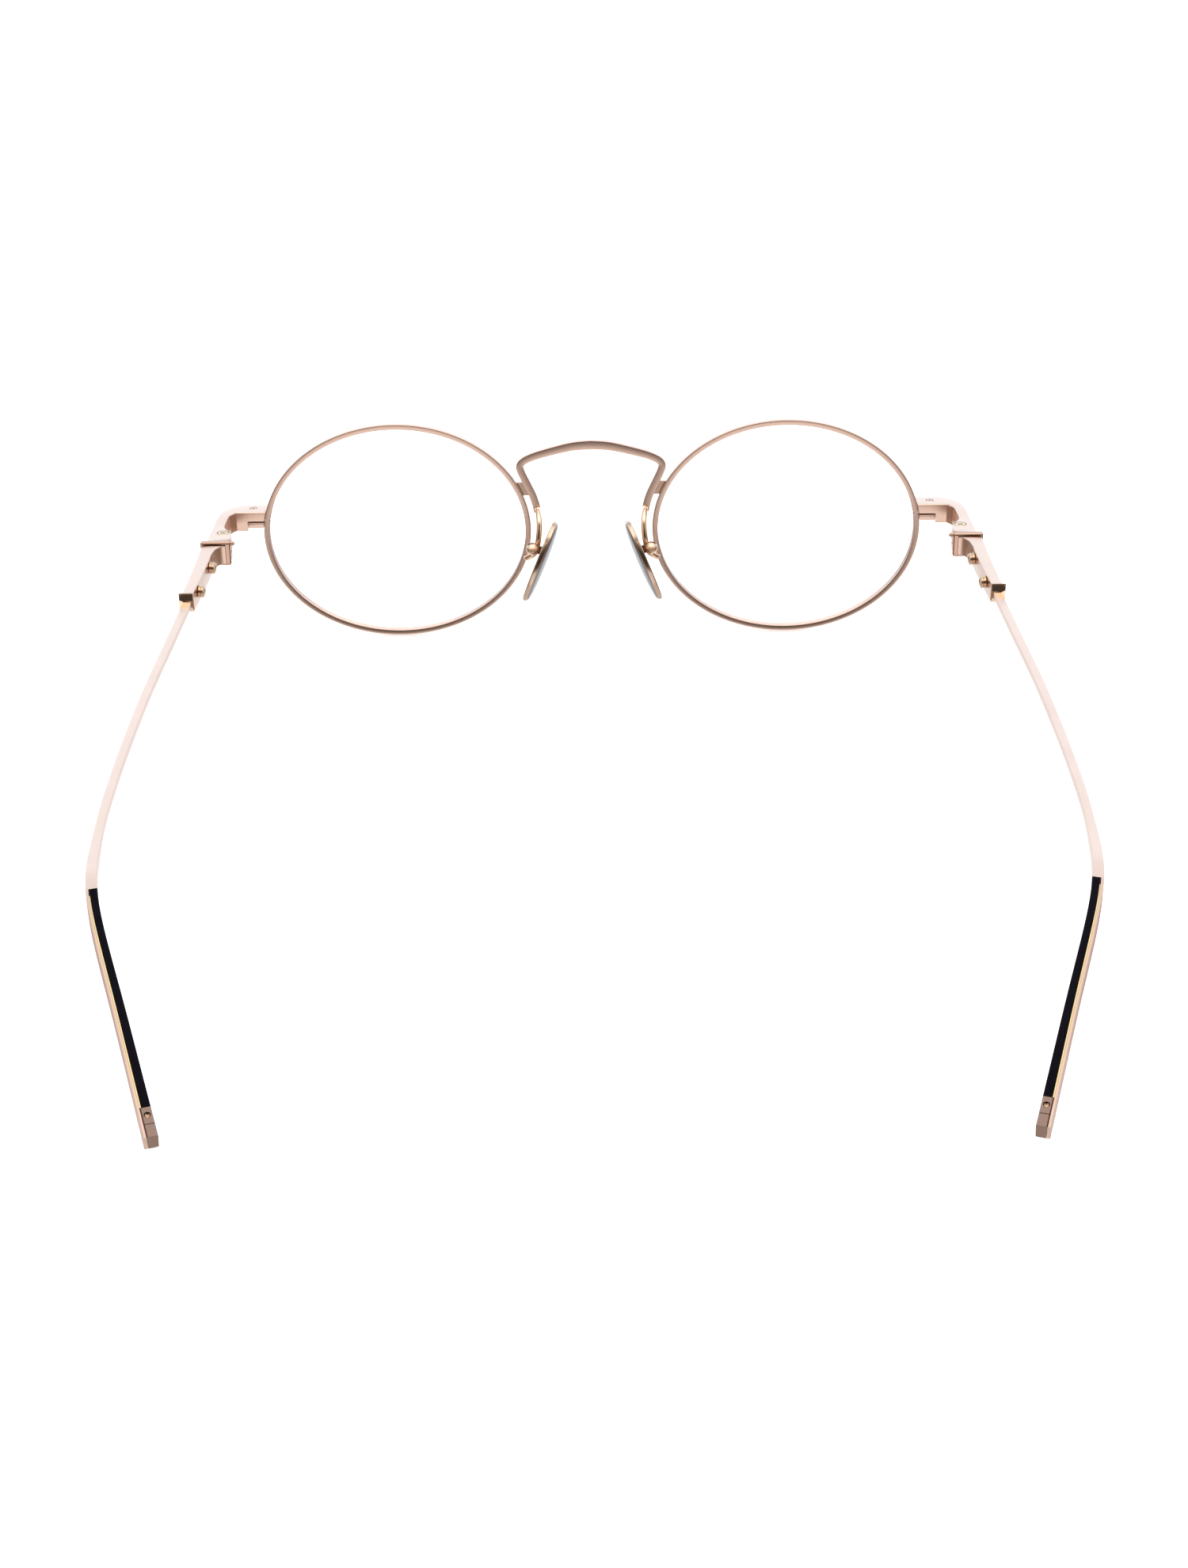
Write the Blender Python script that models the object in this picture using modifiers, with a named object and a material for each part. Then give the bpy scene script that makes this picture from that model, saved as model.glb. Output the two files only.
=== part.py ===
"""Oval wire eyeglasses with folding temples and rocking nose pads.

Driving dimensions are in millimetres and MM turns them into metres.
World frame: +X is the wearer's left, the front faces -Y, the temples run to +Y and +Z is up.
The glasses stand on z = 0, on the bottoms of both rims and on both temple ends.
Left-hand pieces are modelled and the right-hand ones are their mirror images.
"""
import math

import bmesh
import bpy
from mathutils import Matrix, Vector

MM = 0.001
COLLECTION_NAME = "eyeglasses"
FIT_GAP = 0.05            # clearance between neighbouring pieces
CUT_OVERSHOOT = 1.0       # how far a cutter runs past the faces that it cuts
FOOTPRINT_MID_Y = 75.52   # middle of the footprint, counted from the rims' plane

# Front: two oval rims in one plane that leans forward
OPENING_A = 22.5          # half width of the visible lens opening
OPENING_B = 18.1          # half height of the visible lens opening
LENS_PITCH = 34.1         # centre of the bridge to centre of a lens
RIM_BAND = 0.95           # radial thickness of the eyewire
RIM_DEPTH = 1.7           # fore-aft depth of the eyewire
RIM_ROUND = 0.25
GROOVE_DEPTH = 0.45
GROOVE_HALF = 0.42
FRONT_TILT = math.radians(8.8)
DISH_RADIUS = 200.0       # lens base curve, which the eyewires follow
DISH_MID = 0.85           # dish height that is set level with the front plane
LENS_HALF_THICKNESS = 0.9
LENS_INNER_RINGS = (0.3, 0.65)   # rings across the lens faces, as shares of its size
RIM_STEPS = 56
FRONT_HEIGHT = 18.913     # rim centre above the table
RIM_SPLIT_ANGLE = math.radians(7.2)
RIM_SPLIT_GAP = 0.3

# Bridge strip
BRIDGE_DEPTH = 1.2
BRIDGE_CROWN_WIDTH = 1.63
BRIDGE_LEG_WIDTH = 1.28
BRIDGE_SHOULDER_UP = 12.15
BRIDGE_HALF = (           # centreline from the crown to the foot of one leg: across, up
    (0.0, 14.95), (2.6, 14.80), (4.9, 14.38), (8.4, 13.50), (10.3, 12.90), (11.8, BRIDGE_SHOULDER_UP),
    (12.42, 11.30), (12.25, 10.35), (11.63, 8.98), (10.9, 7.45), (10.3, 6.16), (9.8, 4.64), (9.45, 3.1))
BRIDGE_SUBDIVISIONS = 3
SOLDER_LUG_TOP = 8.4      # the lug that joins each leg to its rim, above the rim centre
SOLDER_LUG_BOTTOM = 6.1
SOLDER_LUG_DEPTH = 1.0
SOLDER_LUG_STEPS = 6

# End piece and rim lock
ARM_TOP = 23.15
ARM_HEIGHT = 3.55
ARM_FRONT_Y = -2.2
ARM_BACK_Y = 1.35
ARM_INNER_X = 56.6        # the rim's own outline trims the arm to length
ARM_OUTER_X = 65.95
ARM_SHOULDER = (          # outer side of the arm from the rim to the hinge block: across, aft
    (60.0, ARM_FRONT_Y), (60.9, -2.1), (62.2, -1.65), (63.3, -0.95), (64.1, 0.0), (64.7, 1.1),
    (65.15, 2.8), (65.4, 4.7), (65.65, 6.9), (65.85, 9.45), (ARM_OUTER_X, 11.1))
RIM_CLEAR_DEPTH = 5.0
RIM_CLEAR_STEPS = 120
BLOCK_INNER_X = 62.0
BLOCK_REAR_Y = 12.25
BLOCK_TOP = 22.75
BLOCK_BOTTOM = 18.75
BLOCK_LEVEL_Y = 7.8       # where the arm has eased to the height of the hinge block
ARM_WAIST = (             # inner side of the arm from the hinge block to the rim: across, aft
    (BLOCK_INNER_X, 10.4), (62.4, 8.7), (63.0, 7.8), (63.5, 6.9), (63.55, 5.8), (63.4, 4.2), (63.2, 2.75),
    (62.8, 2.1), (62.2, ARM_BACK_Y))
SWING_FIRST = math.radians(90.0)   # arc of the block that clears the collar as the temple folds
SWING_LAST = math.radians(130.0)
SWING_STEPS = 4
LOCK_OUTER_X = 60.2
LOCK_TOP = 21.15
LOCK_BOTTOM = 20.15
LOCK_SLIT_TOP = 21.45
LOCK_SCREW = (59.35, -0.45)
LOCK_SCREW_RADIUS = 0.38
LOCK_HEAD_RADIUS = 0.62
LOCK_HEAD_HEIGHT = 0.45
EDGE_ROUND = 0.15

# Temple hinge
HINGE = (63.6, 9.05, 20.7)
HINGE_PIN_RADIUS = 0.55
HINGE_HEAD_RADIUS = 1.0
HINGE_HEAD_HEIGHT = 0.35
KNUCKLE_RADIUS = 1.5
KNUCKLE_HALF_HEIGHT = 0.65
KNUCKLE_STEPS = 12
TONGUE_REACH = 1.0        # how far the knuckle runs into the plate
TONGUE_SHOULDER = 1.7     # where the knuckle begins to narrow, in front of the plate
PIN_SEGMENTS = 20

# Collar, plate and studs at the front of the temple
COLLAR_LOW = (61.9, 12.35, 18.55)
COLLAR_HIGH = (67.03, 13.55, 22.95)
COLLAR_ROUND = 0.3
PLATE_FRONT_LOW = (62.75, 19.1)
PLATE_FRONT_HIGH = (66.72, 22.45)
PLATE_WIDTH = 2.2
PLATE_REAR_WIDTH = 1.85
PLATE_FLARE = 0.035       # outward slope of the plate at the collar
PLATE_BOW = 0.002         # and how that slope grows toward the rear
PLATE_DROP = 0.057
PLATE_REAR_Y = 30.35
PLATE_STEPS = 4
WEB_REAR_Y = 17.6
WEB_LENGTH = 3.9
WEB_STEPS = 8
STUD_RADIUS = 1.05
STUD_LENGTH = 0.95
STUD_RISE = 0.3           # stud centres above the middle of the plate
STUD_SEGMENTS = 24
STUD_GAP = 0.08           # clearance at the plate, whose inner face is slightly bowed
STUD_Y = {"front": 18.9, "rear": 27.2}
FERRULE_BULGE = 0.6
FERRULE_BEAD_END = 0.15
FERRULE_NECK = 0.35
FERRULE_NECK_INSET = 0.15
FERRULE_NECK_HEIGHT = 0.55
FERRULE_NECK_DROP = 0.35

# Temple bar and tip
TEMPLE_PATH = (           # centreline of the bar from the ferrule to the end: across, aft, up
    (67.23, 31.0, 19.48), (68.53, 44.0, 18.6), (70.0, 58.5, 17.65), (71.0, 72.0, 16.75),
    (71.62, 84.0, 15.95), (71.87, 94.0, 15.25), (71.68, 103.0, 14.45), (71.05, 110.4, 13.7),
    (69.1, 119.1, 11.75), (63.7, 135.6, 6.8), (57.7, 154.1, 1.15))
PATH_STEPS = 6
STATION_CLEARANCE = 0.3   # no station lies closer than this to an end
BAR_HALF_WIDTH = 0.675
BAR_HALF_HEIGHT = 0.5
TIP_HALF_WIDTH_START = 0.85
TIP_HALF_WIDTH_END = 1.0
TIP_HALF_HEIGHT = 1.2
WIDEN_START_Y = 98.0
SLEEVE_START_Y = 112.6
SLEEVE_WALL = 0.5
CAP_START_Y = 149.6
TIP_SCREW_HEAD_RADIUS = 0.42
TIP_SCREW_FROM_CAP = 1.2
TIP_SCREW_SUNK = 0.1
TIP_SCREW_DEPTH = 0.55
TIP_HOLE_DEPTH = 0.6

# Nose pads and the arms that carry them, in the front plane: across, behind, up
PAD_WIRE_RADIUS = 0.5
PAD_WIRE_STEPS = 3
PAD_WIRE = (
    (9.42, 0.85, 3.75), (9.3, 1.8, 3.35), (9.15, 3.0, 2.3), (9.15, 3.7, 0.7), (9.3, 3.95, -0.8),
    (9.55, 3.8, -2.2), (9.9, 3.6, -3.3), (10.6, 3.1, -4.1), (11.25, 2.3, -4.65), (11.68, 1.5, -4.95))
PAD_BOX = (10.35, 5.25, -2.3)
PAD_BOX_RADIUS = 1.1
PAD_BOX_SEGMENTS = 20
PAD_BOX_RINGS = 12
PAD_PIN_RADIUS = 0.3
PAD_PIN_HEAD_RADIUS = 0.55
PAD_PIN_HEAD_HEIGHT = 0.3
PAD_LUG_THICKNESS = 0.7
PAD_LUG_RADIUS = 0.75
PAD_LUG_REACH = 2.6
PAD_LUG_LOW = -1.0
PAD_LUG_HIGH = 0.3
LUG_STEPS = 8
PAD_CENTRE = (9.45, 6.0, -4.15)
PAD_HALF_LENGTH = 7.6
PAD_HALF_WIDTH = 4.1
PAD_DOME = 0.8
PAD_EDGE = 0.85           # height of the leaf's straight edge
PAD_DOME_ROWS = ((0.8, 0.36), (0.45, 0.8))   # size and rise of the dome's rings, as shares
PAD_FRONTAL_ANGLE = math.radians(22.0)
PAD_SPLAY_ANGLE = math.radians(7.5)
PAD_SEGMENTS = 28

ROSE_GOLD = (0.80, 0.56, 0.42)
PALE_GOLD = (0.86, 0.66, 0.50)
SILVER_GREY = (0.55, 0.53, 0.55)
LENS_CLEAR = (0.93, 0.95, 0.97)
TIP_BLACK = (0.010, 0.008, 0.012)
SCREW_GOLD = (0.62, 0.44, 0.32)


def clear_scene():
    for item in list(bpy.data.objects):
        bpy.data.objects.remove(item, do_unlink=True)


def make_material(name, colour, roughness, metallic, alpha=1.0):
    material = bpy.data.materials.new(name)
    material.use_nodes = True
    shader = material.node_tree.nodes["Principled BSDF"]
    shader.inputs["Base Color"].default_value = (*colour, 1.0)
    shader.inputs["Roughness"].default_value = roughness
    shader.inputs["Metallic"].default_value = metallic
    shader.inputs["Alpha"].default_value = alpha
    return material


def make_collection(name):
    group = bpy.data.collections.new(name)
    bpy.context.scene.collection.children.link(group)
    return group


def make_empty(name, location, parent=None, tilt=0.0):
    empty = bpy.data.objects.new(name, None)
    empty.location = Vector(location) * MM
    empty.rotation_euler = (tilt, 0.0, 0.0)
    empty.parent = parent
    PARTS.objects.link(empty)
    return empty


def add_part(name, bm, material, parent, smooth_angle=35.0):
    """Turn a bmesh in millimetres, in the parent's own axes, into a named object."""
    bmesh.ops.scale(bm, vec=(MM, MM, MM), verts=bm.verts)
    bmesh.ops.recalc_face_normals(bm, faces=bm.faces)
    mesh = bpy.data.meshes.new(name)
    bm.to_mesh(mesh)
    bm.free()
    mesh.materials.append(material)
    mesh.shade_smooth()
    mesh.set_sharp_from_angle(angle=math.radians(smooth_angle))
    part = bpy.data.objects.new(name, mesh)
    part.parent = parent
    PARTS.objects.link(part)
    return part


def add_boolean(target, bm, operation="DIFFERENCE"):
    """Cut or join a shape, given in the target's own axes in millimetres."""
    bmesh.ops.scale(bm, vec=(MM, MM, MM), verts=bm.verts)
    bmesh.ops.recalc_face_normals(bm, faces=bm.faces)
    mesh = bpy.data.meshes.new(target.name + "_tool")
    bm.to_mesh(mesh)
    bm.free()
    tool = bpy.data.objects.new(mesh.name, mesh)
    tool.parent = target.parent
    tool.hide_render = True
    tool.display_type = "WIRE"
    TOOLS.objects.link(tool)
    modifier = target.modifiers.new(operation.title(), "BOOLEAN")
    modifier.operation = operation
    modifier.solver = "EXACT"
    modifier.object = tool


def add_bevel(target, width, segments=1):
    modifier = target.modifiers.new("Round", "BEVEL")
    modifier.width = width * MM
    modifier.segments = segments
    modifier.limit_method = "ANGLE"
    modifier.angle_limit = math.radians(50.0)


def mirrored(source, parent):
    """The right-hand twin of a left-hand piece."""
    graph = bpy.context.evaluated_depsgraph_get()
    mesh = bpy.data.meshes.new_from_object(source.evaluated_get(graph))
    bm = bmesh.new()
    bm.from_mesh(mesh)
    bmesh.ops.scale(bm, vec=(-1.0, 1.0, 1.0), verts=bm.verts)
    bmesh.ops.reverse_faces(bm, faces=bm.faces)
    bm.to_mesh(mesh)
    bm.free()
    twin = bpy.data.objects.new(source.name.replace("_left", "_right"), mesh)
    mesh.name = twin.name
    twin.parent = parent
    PARTS.objects.link(twin)
    return twin


def loft(rings, closed=False):
    """Skin a row of rings that have the same number of points."""
    bm = bmesh.new()
    loops = [[bm.verts.new(point) for point in ring] for ring in rings]
    following = loops[1:] + loops[:1] if closed else loops[1:]
    for near, far in zip(loops, following):
        for index, vert in enumerate(near):
            after = (index + 1) % len(near)
            bm.faces.new((vert, near[after], far[after], far[index]))
    if not closed:
        bm.faces.new(loops[0])
        bm.faces.new(loops[-1])
    return bm


def box(low, high):
    bm = bmesh.new()
    bmesh.ops.create_cube(bm, size=1.0)
    size = Vector(high) - Vector(low)
    bmesh.ops.scale(bm, vec=size, verts=bm.verts)
    bmesh.ops.translate(bm, vec=(Vector(low) + Vector(high)) / 2.0, verts=bm.verts)
    return bm


def cylinder(radius, start, end, segments):
    """A round bar between two points."""
    start = Vector(start)
    run = Vector(end) - start
    bm = bmesh.new()
    bmesh.ops.create_cone(bm, cap_ends=True, segments=segments, radius1=radius, radius2=radius,
                          depth=run.length)
    turn = Vector((0.0, 0.0, 1.0)).rotation_difference(run).to_matrix().to_4x4()
    bm.transform(Matrix.Translation(start + run / 2.0) @ turn)
    return bm


def screw(top, length, head_radius, head_height, radius, segments):
    """A turned screw that points down from its flat head: a profile spun about its axis."""
    x, y, z = top
    shoulder = z - head_height
    profile = ((head_radius, z), (head_radius, shoulder), (radius, shoulder), (radius, z - length))
    rings = []
    for reach, height in profile:
        angles = [math.tau * step / segments for step in range(segments)]
        rings.append([(x + reach * math.cos(a), y + reach * math.sin(a), height) for a in angles])
    return loft(rings)


def outline_solid(points, low, high):
    """A flat outline, drawn as a 2D curve, filled and extruded between two heights."""
    curve = bpy.data.curves.new("outline", "CURVE")
    curve.dimensions = "2D"
    curve.fill_mode = "BOTH"
    curve.extrude = (high - low) / 2.0
    spline = curve.splines.new("POLY")
    spline.points.add(len(points) - 1)
    for slot, (x, y) in zip(spline.points, points):
        slot.co = (x, y, 0.0, 1.0)
    spline.use_cyclic_u = True
    holder = bpy.data.objects.new("outline", curve)
    TOOLS.objects.link(holder)
    bm = curve_to_bmesh(holder)
    bmesh.ops.translate(bm, vec=(0.0, 0.0, (high + low) / 2.0), verts=bm.verts)
    return bm


def wire_solid(points, radius):
    """A round wire through the points, drawn as a bevelled curve with filled caps."""
    curve = bpy.data.curves.new("wire", "CURVE")
    curve.dimensions = "3D"
    curve.bevel_depth = radius
    curve.bevel_resolution = 2
    curve.use_fill_caps = True
    spline = curve.splines.new("POLY")
    spline.points.add(len(points) - 1)
    for slot, point in zip(spline.points, points):
        slot.co = (*point, 1.0)
    holder = bpy.data.objects.new("wire", curve)
    TOOLS.objects.link(holder)
    return curve_to_bmesh(holder)


def curve_to_bmesh(holder):
    """The welded mesh of a curve object, which is then removed."""
    graph = bpy.context.evaluated_depsgraph_get()
    mesh = bpy.data.meshes.new_from_object(holder.evaluated_get(graph))
    bm = bmesh.new()
    bm.from_mesh(mesh)
    bmesh.ops.remove_doubles(bm, verts=bm.verts, dist=FIT_GAP / 10.0)
    bpy.data.meshes.remove(mesh)
    bpy.data.objects.remove(holder, do_unlink=True)
    return bm


def smooth_path(points, steps):
    """Catmull-Rom curve through the points, with its ends kept."""
    points = [Vector(point) for point in points]
    padded = [points[0] * 2.0 - points[1], *points, points[-1] * 2.0 - points[-2]]
    path = []
    for a, b, c, d in zip(padded, padded[1:], padded[2:], padded[3:]):
        for step in range(steps):
            t = step / steps
            path.append(0.5 * (2.0 * b + (c - a) * t + (2.0 * a - 5.0 * b + 4.0 * c - d) * t * t
                               + (3.0 * b - a - 3.0 * c + d) * t ** 3))
    path.append(points[-1])
    return path


def dish(across, up):
    """How far the lens surface stands behind the front plane at a place in one lens."""
    return (across ** 2 + up ** 2) / (2.0 * DISH_RADIUS) - DISH_MID


def oval_point(angle, grow, behind, scale=1.0):
    """A point of the left lens or rim: grow is counted outward from the visible opening."""
    across = (OPENING_A + grow) * scale * math.cos(angle)
    up = (OPENING_B + grow) * scale * math.sin(angle)
    return (LENS_PITCH + across, behind + dish(across, up), up)


def make_rim(parent):
    """Grooved eyewire, split on the temple side where the lock closes it."""
    half = RIM_DEPTH / 2.0
    profile = (
        (0.0, -half), (0.0, -GROOVE_HALF), (GROOVE_DEPTH, 0.0), (0.0, GROOVE_HALF), (0.0, half),
        (RIM_BAND - RIM_ROUND, half), (RIM_BAND, half - RIM_ROUND),
        (RIM_BAND, RIM_ROUND - half), (RIM_BAND - RIM_ROUND, -half))
    half_gap = RIM_SPLIT_GAP / 2.0 / (OPENING_A + RIM_BAND)
    first = RIM_SPLIT_ANGLE + half_gap
    sweep = math.tau - 2.0 * half_gap
    angles = [first + sweep * step / RIM_STEPS for step in range(RIM_STEPS + 1)]
    rings = [[oval_point(angle, grow, behind) for grow, behind in profile] for angle in angles]
    return add_part("rim_left", loft(rings), MATERIALS["rose_gold"], parent)


def make_lens(parent):
    """Clear meniscus lens with a bevelled edge that sits in the groove."""
    edge = GROOVE_DEPTH - 2.0 * FIT_GAP
    shoulder = -2.0 * FIT_GAP
    bevel = GROOVE_HALF - FIT_GAP
    face = LENS_HALF_THICKNESS
    rows = [(scale, 0.0, face) for scale in LENS_INNER_RINGS]
    rows += [(1.0, shoulder, face), (1.0, shoulder, bevel), (1.0, edge, 0.0), (1.0, shoulder, -bevel),
             (1.0, shoulder, -face)]
    rows += [(scale, 0.0, -face) for scale in reversed(LENS_INNER_RINGS)]
    angles = [math.tau * step / RIM_STEPS for step in range(RIM_STEPS)]
    rings = [[oval_point(angle, grow, behind, scale) for angle in angles] for scale, grow, behind in rows]
    bm = loft(rings)
    bmesh.ops.triangulate(bm, faces=[face for face in bm.faces if len(face.verts) > 4])
    return add_part("lens_left", bm, MATERIALS["lens"], parent)


def solder_lug(leg):
    """Block from one leg's centreline to the rim: the face at the rim follows the rim's outer edge."""
    rise = SOLDER_LUG_TOP - SOLDER_LUG_BOTTOM
    heights = [SOLDER_LUG_BOTTOM + rise * step / SOLDER_LUG_STEPS for step in range(SOLDER_LUG_STEPS + 1)]
    outline = []
    for up in heights:
        angle = math.pi - math.asin(up / (OPENING_B + RIM_BAND))
        rim_x, _, _ = oval_point(angle, RIM_BAND, 0.0)
        outline.append((rim_x - FIT_GAP, up))
    for up in (heights[-1], heights[0]):
        nearest = min(leg, key=lambda point: abs(point.z - up))
        outline.append((nearest.x, up))
    half = SOLDER_LUG_DEPTH / 2.0
    return loft([[(x, y, z) for x, z in outline] for y in (-half, half)])


def make_bridge(parent):
    """Flat saddle strip: a curved crown, two tight shoulders and two legs."""
    half = smooth_path([(x, 0.0, z) for x, z in BRIDGE_HALF], BRIDGE_SUBDIVISIONS)
    left = [Vector((-point.x, 0.0, point.z)) for point in reversed(half[1:])]
    line = left + half
    shoulder_x = max(point.x for point in line)
    rings = []
    for index, point in enumerate(line):
        before = line[max(index - 1, 0)]
        after = line[min(index + 1, len(line) - 1)]
        along = (after - before).normalized()
        side = Vector((-along.z, 0.0, along.x))
        blend = min(abs(point.x) / shoulder_x, 1.0) if point.z > BRIDGE_SHOULDER_UP else 1.0
        width = BRIDGE_CROWN_WIDTH + (BRIDGE_LEG_WIDTH - BRIDGE_CROWN_WIDTH) * blend
        reach = side * width / 2.0
        depth = Vector((0.0, BRIDGE_DEPTH / 2.0, 0.0))
        rings.append([point - reach - depth, point + reach - depth,
                      point + reach + depth, point - reach + depth])
    part = add_part("bridge", loft(rings), MATERIALS["rose_gold"], parent)
    leg = [point for point in half if point.z < BRIDGE_SHOULDER_UP]
    add_boolean(part, solder_lug(leg), "UNION")
    twin = solder_lug(leg)
    bmesh.ops.scale(twin, vec=(-1.0, 1.0, 1.0), verts=twin.verts)
    add_boolean(part, twin, "UNION")
    return part


def rim_clearance():
    """Solid oval that trims the end piece and the rim lock to the outer edge of the rim."""
    reach = RIM_BAND + FIT_GAP
    angles = [math.tau * step / RIM_CLEAR_STEPS for step in range(RIM_CLEAR_STEPS)]
    outline = [(LENS_PITCH + (OPENING_A + reach) * math.cos(a), (OPENING_B + reach) * math.sin(a))
               for a in angles]
    bm = loft([[(x, y, z) for x, z in outline] for y in (-RIM_CLEAR_DEPTH, RIM_CLEAR_DEPTH)])
    bm.transform(Matrix.Translation((0.0, 0.0, FRONT_HEIGHT)) @ Matrix.Rotation(FRONT_TILT, 4, "X"))
    return bm


def arm_outline():
    """Plan of the end piece: a rounded shoulder, a waist, and the block that holds the hinge."""
    clear = COLLAR_LOW[1] - HINGE[1] - FIT_GAP
    swing = []
    for step in range(SWING_STEPS + 1):
        angle = SWING_FIRST + (SWING_LAST - SWING_FIRST) * step / SWING_STEPS
        x = HINGE[0] + clear * math.cos(angle)
        y = min(HINGE[1] + clear * math.sin(angle), BLOCK_REAR_Y)
        swing.append((max(x, BLOCK_INNER_X), y))
    return [(ARM_INNER_X, ARM_FRONT_Y), *ARM_SHOULDER, (ARM_OUTER_X, BLOCK_REAR_Y), *swing, *ARM_WAIST,
            (ARM_INNER_X, ARM_BACK_Y)]


def blend_height(y, at_front, at_rear):
    """Ease a height from the rim end of the arm to its hinge end."""
    share = min(max((y - ARM_BACK_Y) / (BLOCK_LEVEL_Y - ARM_BACK_Y), 0.0), 1.0)
    return at_front + (at_rear - at_front) * share * share * (3.0 - 2.0 * share)


def make_endpiece(parent):
    """Bent arm that carries the upper half of the rim lock and the slotted hinge block."""
    bottom = ARM_TOP - ARM_HEIGHT
    bm = outline_solid(arm_outline(), bottom, ARM_TOP)
    for vert in bm.verts:
        upper = vert.co.z > (ARM_TOP + bottom) / 2.0
        at_rim, at_hinge = (ARM_TOP, BLOCK_TOP) if upper else (bottom, BLOCK_BOTTOM)
        vert.co.z = blend_height(vert.co.y, at_rim, at_hinge)
    part = add_part("endpiece_left", bm, MATERIALS["rose_gold"], parent)
    slit = box((ARM_INNER_X - CUT_OVERSHOOT, ARM_FRONT_Y - CUT_OVERSHOOT, bottom - CUT_OVERSHOOT),
               (LOCK_OUTER_X + 2.0 * FIT_GAP, ARM_BACK_Y + CUT_OVERSHOOT, LOCK_SLIT_TOP))
    add_boolean(part, slit)
    add_boolean(part, rim_clearance())
    reach = KNUCKLE_RADIUS + 2.0 * FIT_GAP
    half = KNUCKLE_HALF_HEIGHT + FIT_GAP
    slot = box((BLOCK_INNER_X - CUT_OVERSHOOT, HINGE[1] - reach, HINGE[2] - half),
               (HINGE[0] + reach, BLOCK_REAR_Y + CUT_OVERSHOOT, HINGE[2] + half))
    add_boolean(part, slot)
    hinge_hole = screw((HINGE[0], HINGE[1], BLOCK_TOP + CUT_OVERSHOOT),
                       BLOCK_TOP - BLOCK_BOTTOM + 2.0 * CUT_OVERSHOOT,
                       HINGE_HEAD_RADIUS + FIT_GAP, CUT_OVERSHOOT + HINGE_HEAD_HEIGHT + FIT_GAP,
                       HINGE_PIN_RADIUS + FIT_GAP, PIN_SEGMENTS)
    add_boolean(part, hinge_hole)
    lock_hole = screw((*LOCK_SCREW, ARM_TOP + CUT_OVERSHOOT), ARM_HEIGHT + 2.0 * CUT_OVERSHOOT,
                      LOCK_HEAD_RADIUS + FIT_GAP, CUT_OVERSHOOT + LOCK_HEAD_HEIGHT + FIT_GAP,
                      LOCK_SCREW_RADIUS + FIT_GAP, PIN_SEGMENTS)
    add_boolean(part, lock_hole)
    return part


def make_rim_lock(parent):
    """Lower half of the rim lock, a small block under the arm."""
    bm = box((ARM_INNER_X, ARM_FRONT_Y, LOCK_BOTTOM), (LOCK_OUTER_X, ARM_BACK_Y, LOCK_TOP))
    part = add_part("rim_lock_left", bm, MATERIALS["rose_gold"], parent)
    add_bevel(part, EDGE_ROUND)
    add_boolean(part, rim_clearance())
    hole = cylinder(LOCK_SCREW_RADIUS + FIT_GAP, (*LOCK_SCREW, LOCK_BOTTOM - CUT_OVERSHOOT),
                    (*LOCK_SCREW, LOCK_TOP + CUT_OVERSHOOT), PIN_SEGMENTS)
    add_boolean(part, hole)
    return part


def make_rim_screw(parent):
    bm = screw((*LOCK_SCREW, ARM_TOP), ARM_TOP - LOCK_BOTTOM, LOCK_HEAD_RADIUS, LOCK_HEAD_HEIGHT,
               LOCK_SCREW_RADIUS, PIN_SEGMENTS)
    return add_part("rim_screw_left", bm, MATERIALS["screw"], parent)


def make_hinge_screw(parent):
    bm = screw((HINGE[0], HINGE[1], BLOCK_TOP), BLOCK_TOP - BLOCK_BOTTOM, HINGE_HEAD_RADIUS,
               HINGE_HEAD_HEIGHT, HINGE_PIN_RADIUS, PIN_SEGMENTS)
    return add_part("hinge_screw_left", bm, MATERIALS["screw"], parent)


def from_hinge(bm):
    """Move a shape given in the design frame so that the hinge axis is its origin."""
    bmesh.ops.translate(bm, vec=-Vector(HINGE), verts=bm.verts)
    return bm


def plate_outer_x(y):
    behind = y - COLLAR_LOW[1]
    return PLATE_FRONT_HIGH[0] + PLATE_FLARE * behind + PLATE_BOW * behind ** 2


def plate_inner_x(y):
    """Inner face of the plate behind its web, where the plate narrows toward the rear."""
    share = (y - WEB_REAR_Y) / (PLATE_REAR_Y - WEB_REAR_Y)
    return plate_outer_x(y) - PLATE_WIDTH - (PLATE_REAR_WIDTH - PLATE_WIDTH) * share


def plate_middle_z(y):
    middle = (PLATE_FRONT_LOW[1] + PLATE_FRONT_HIGH[1]) / 2.0
    return middle - PLATE_DROP * (y - COLLAR_LOW[1])


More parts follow.
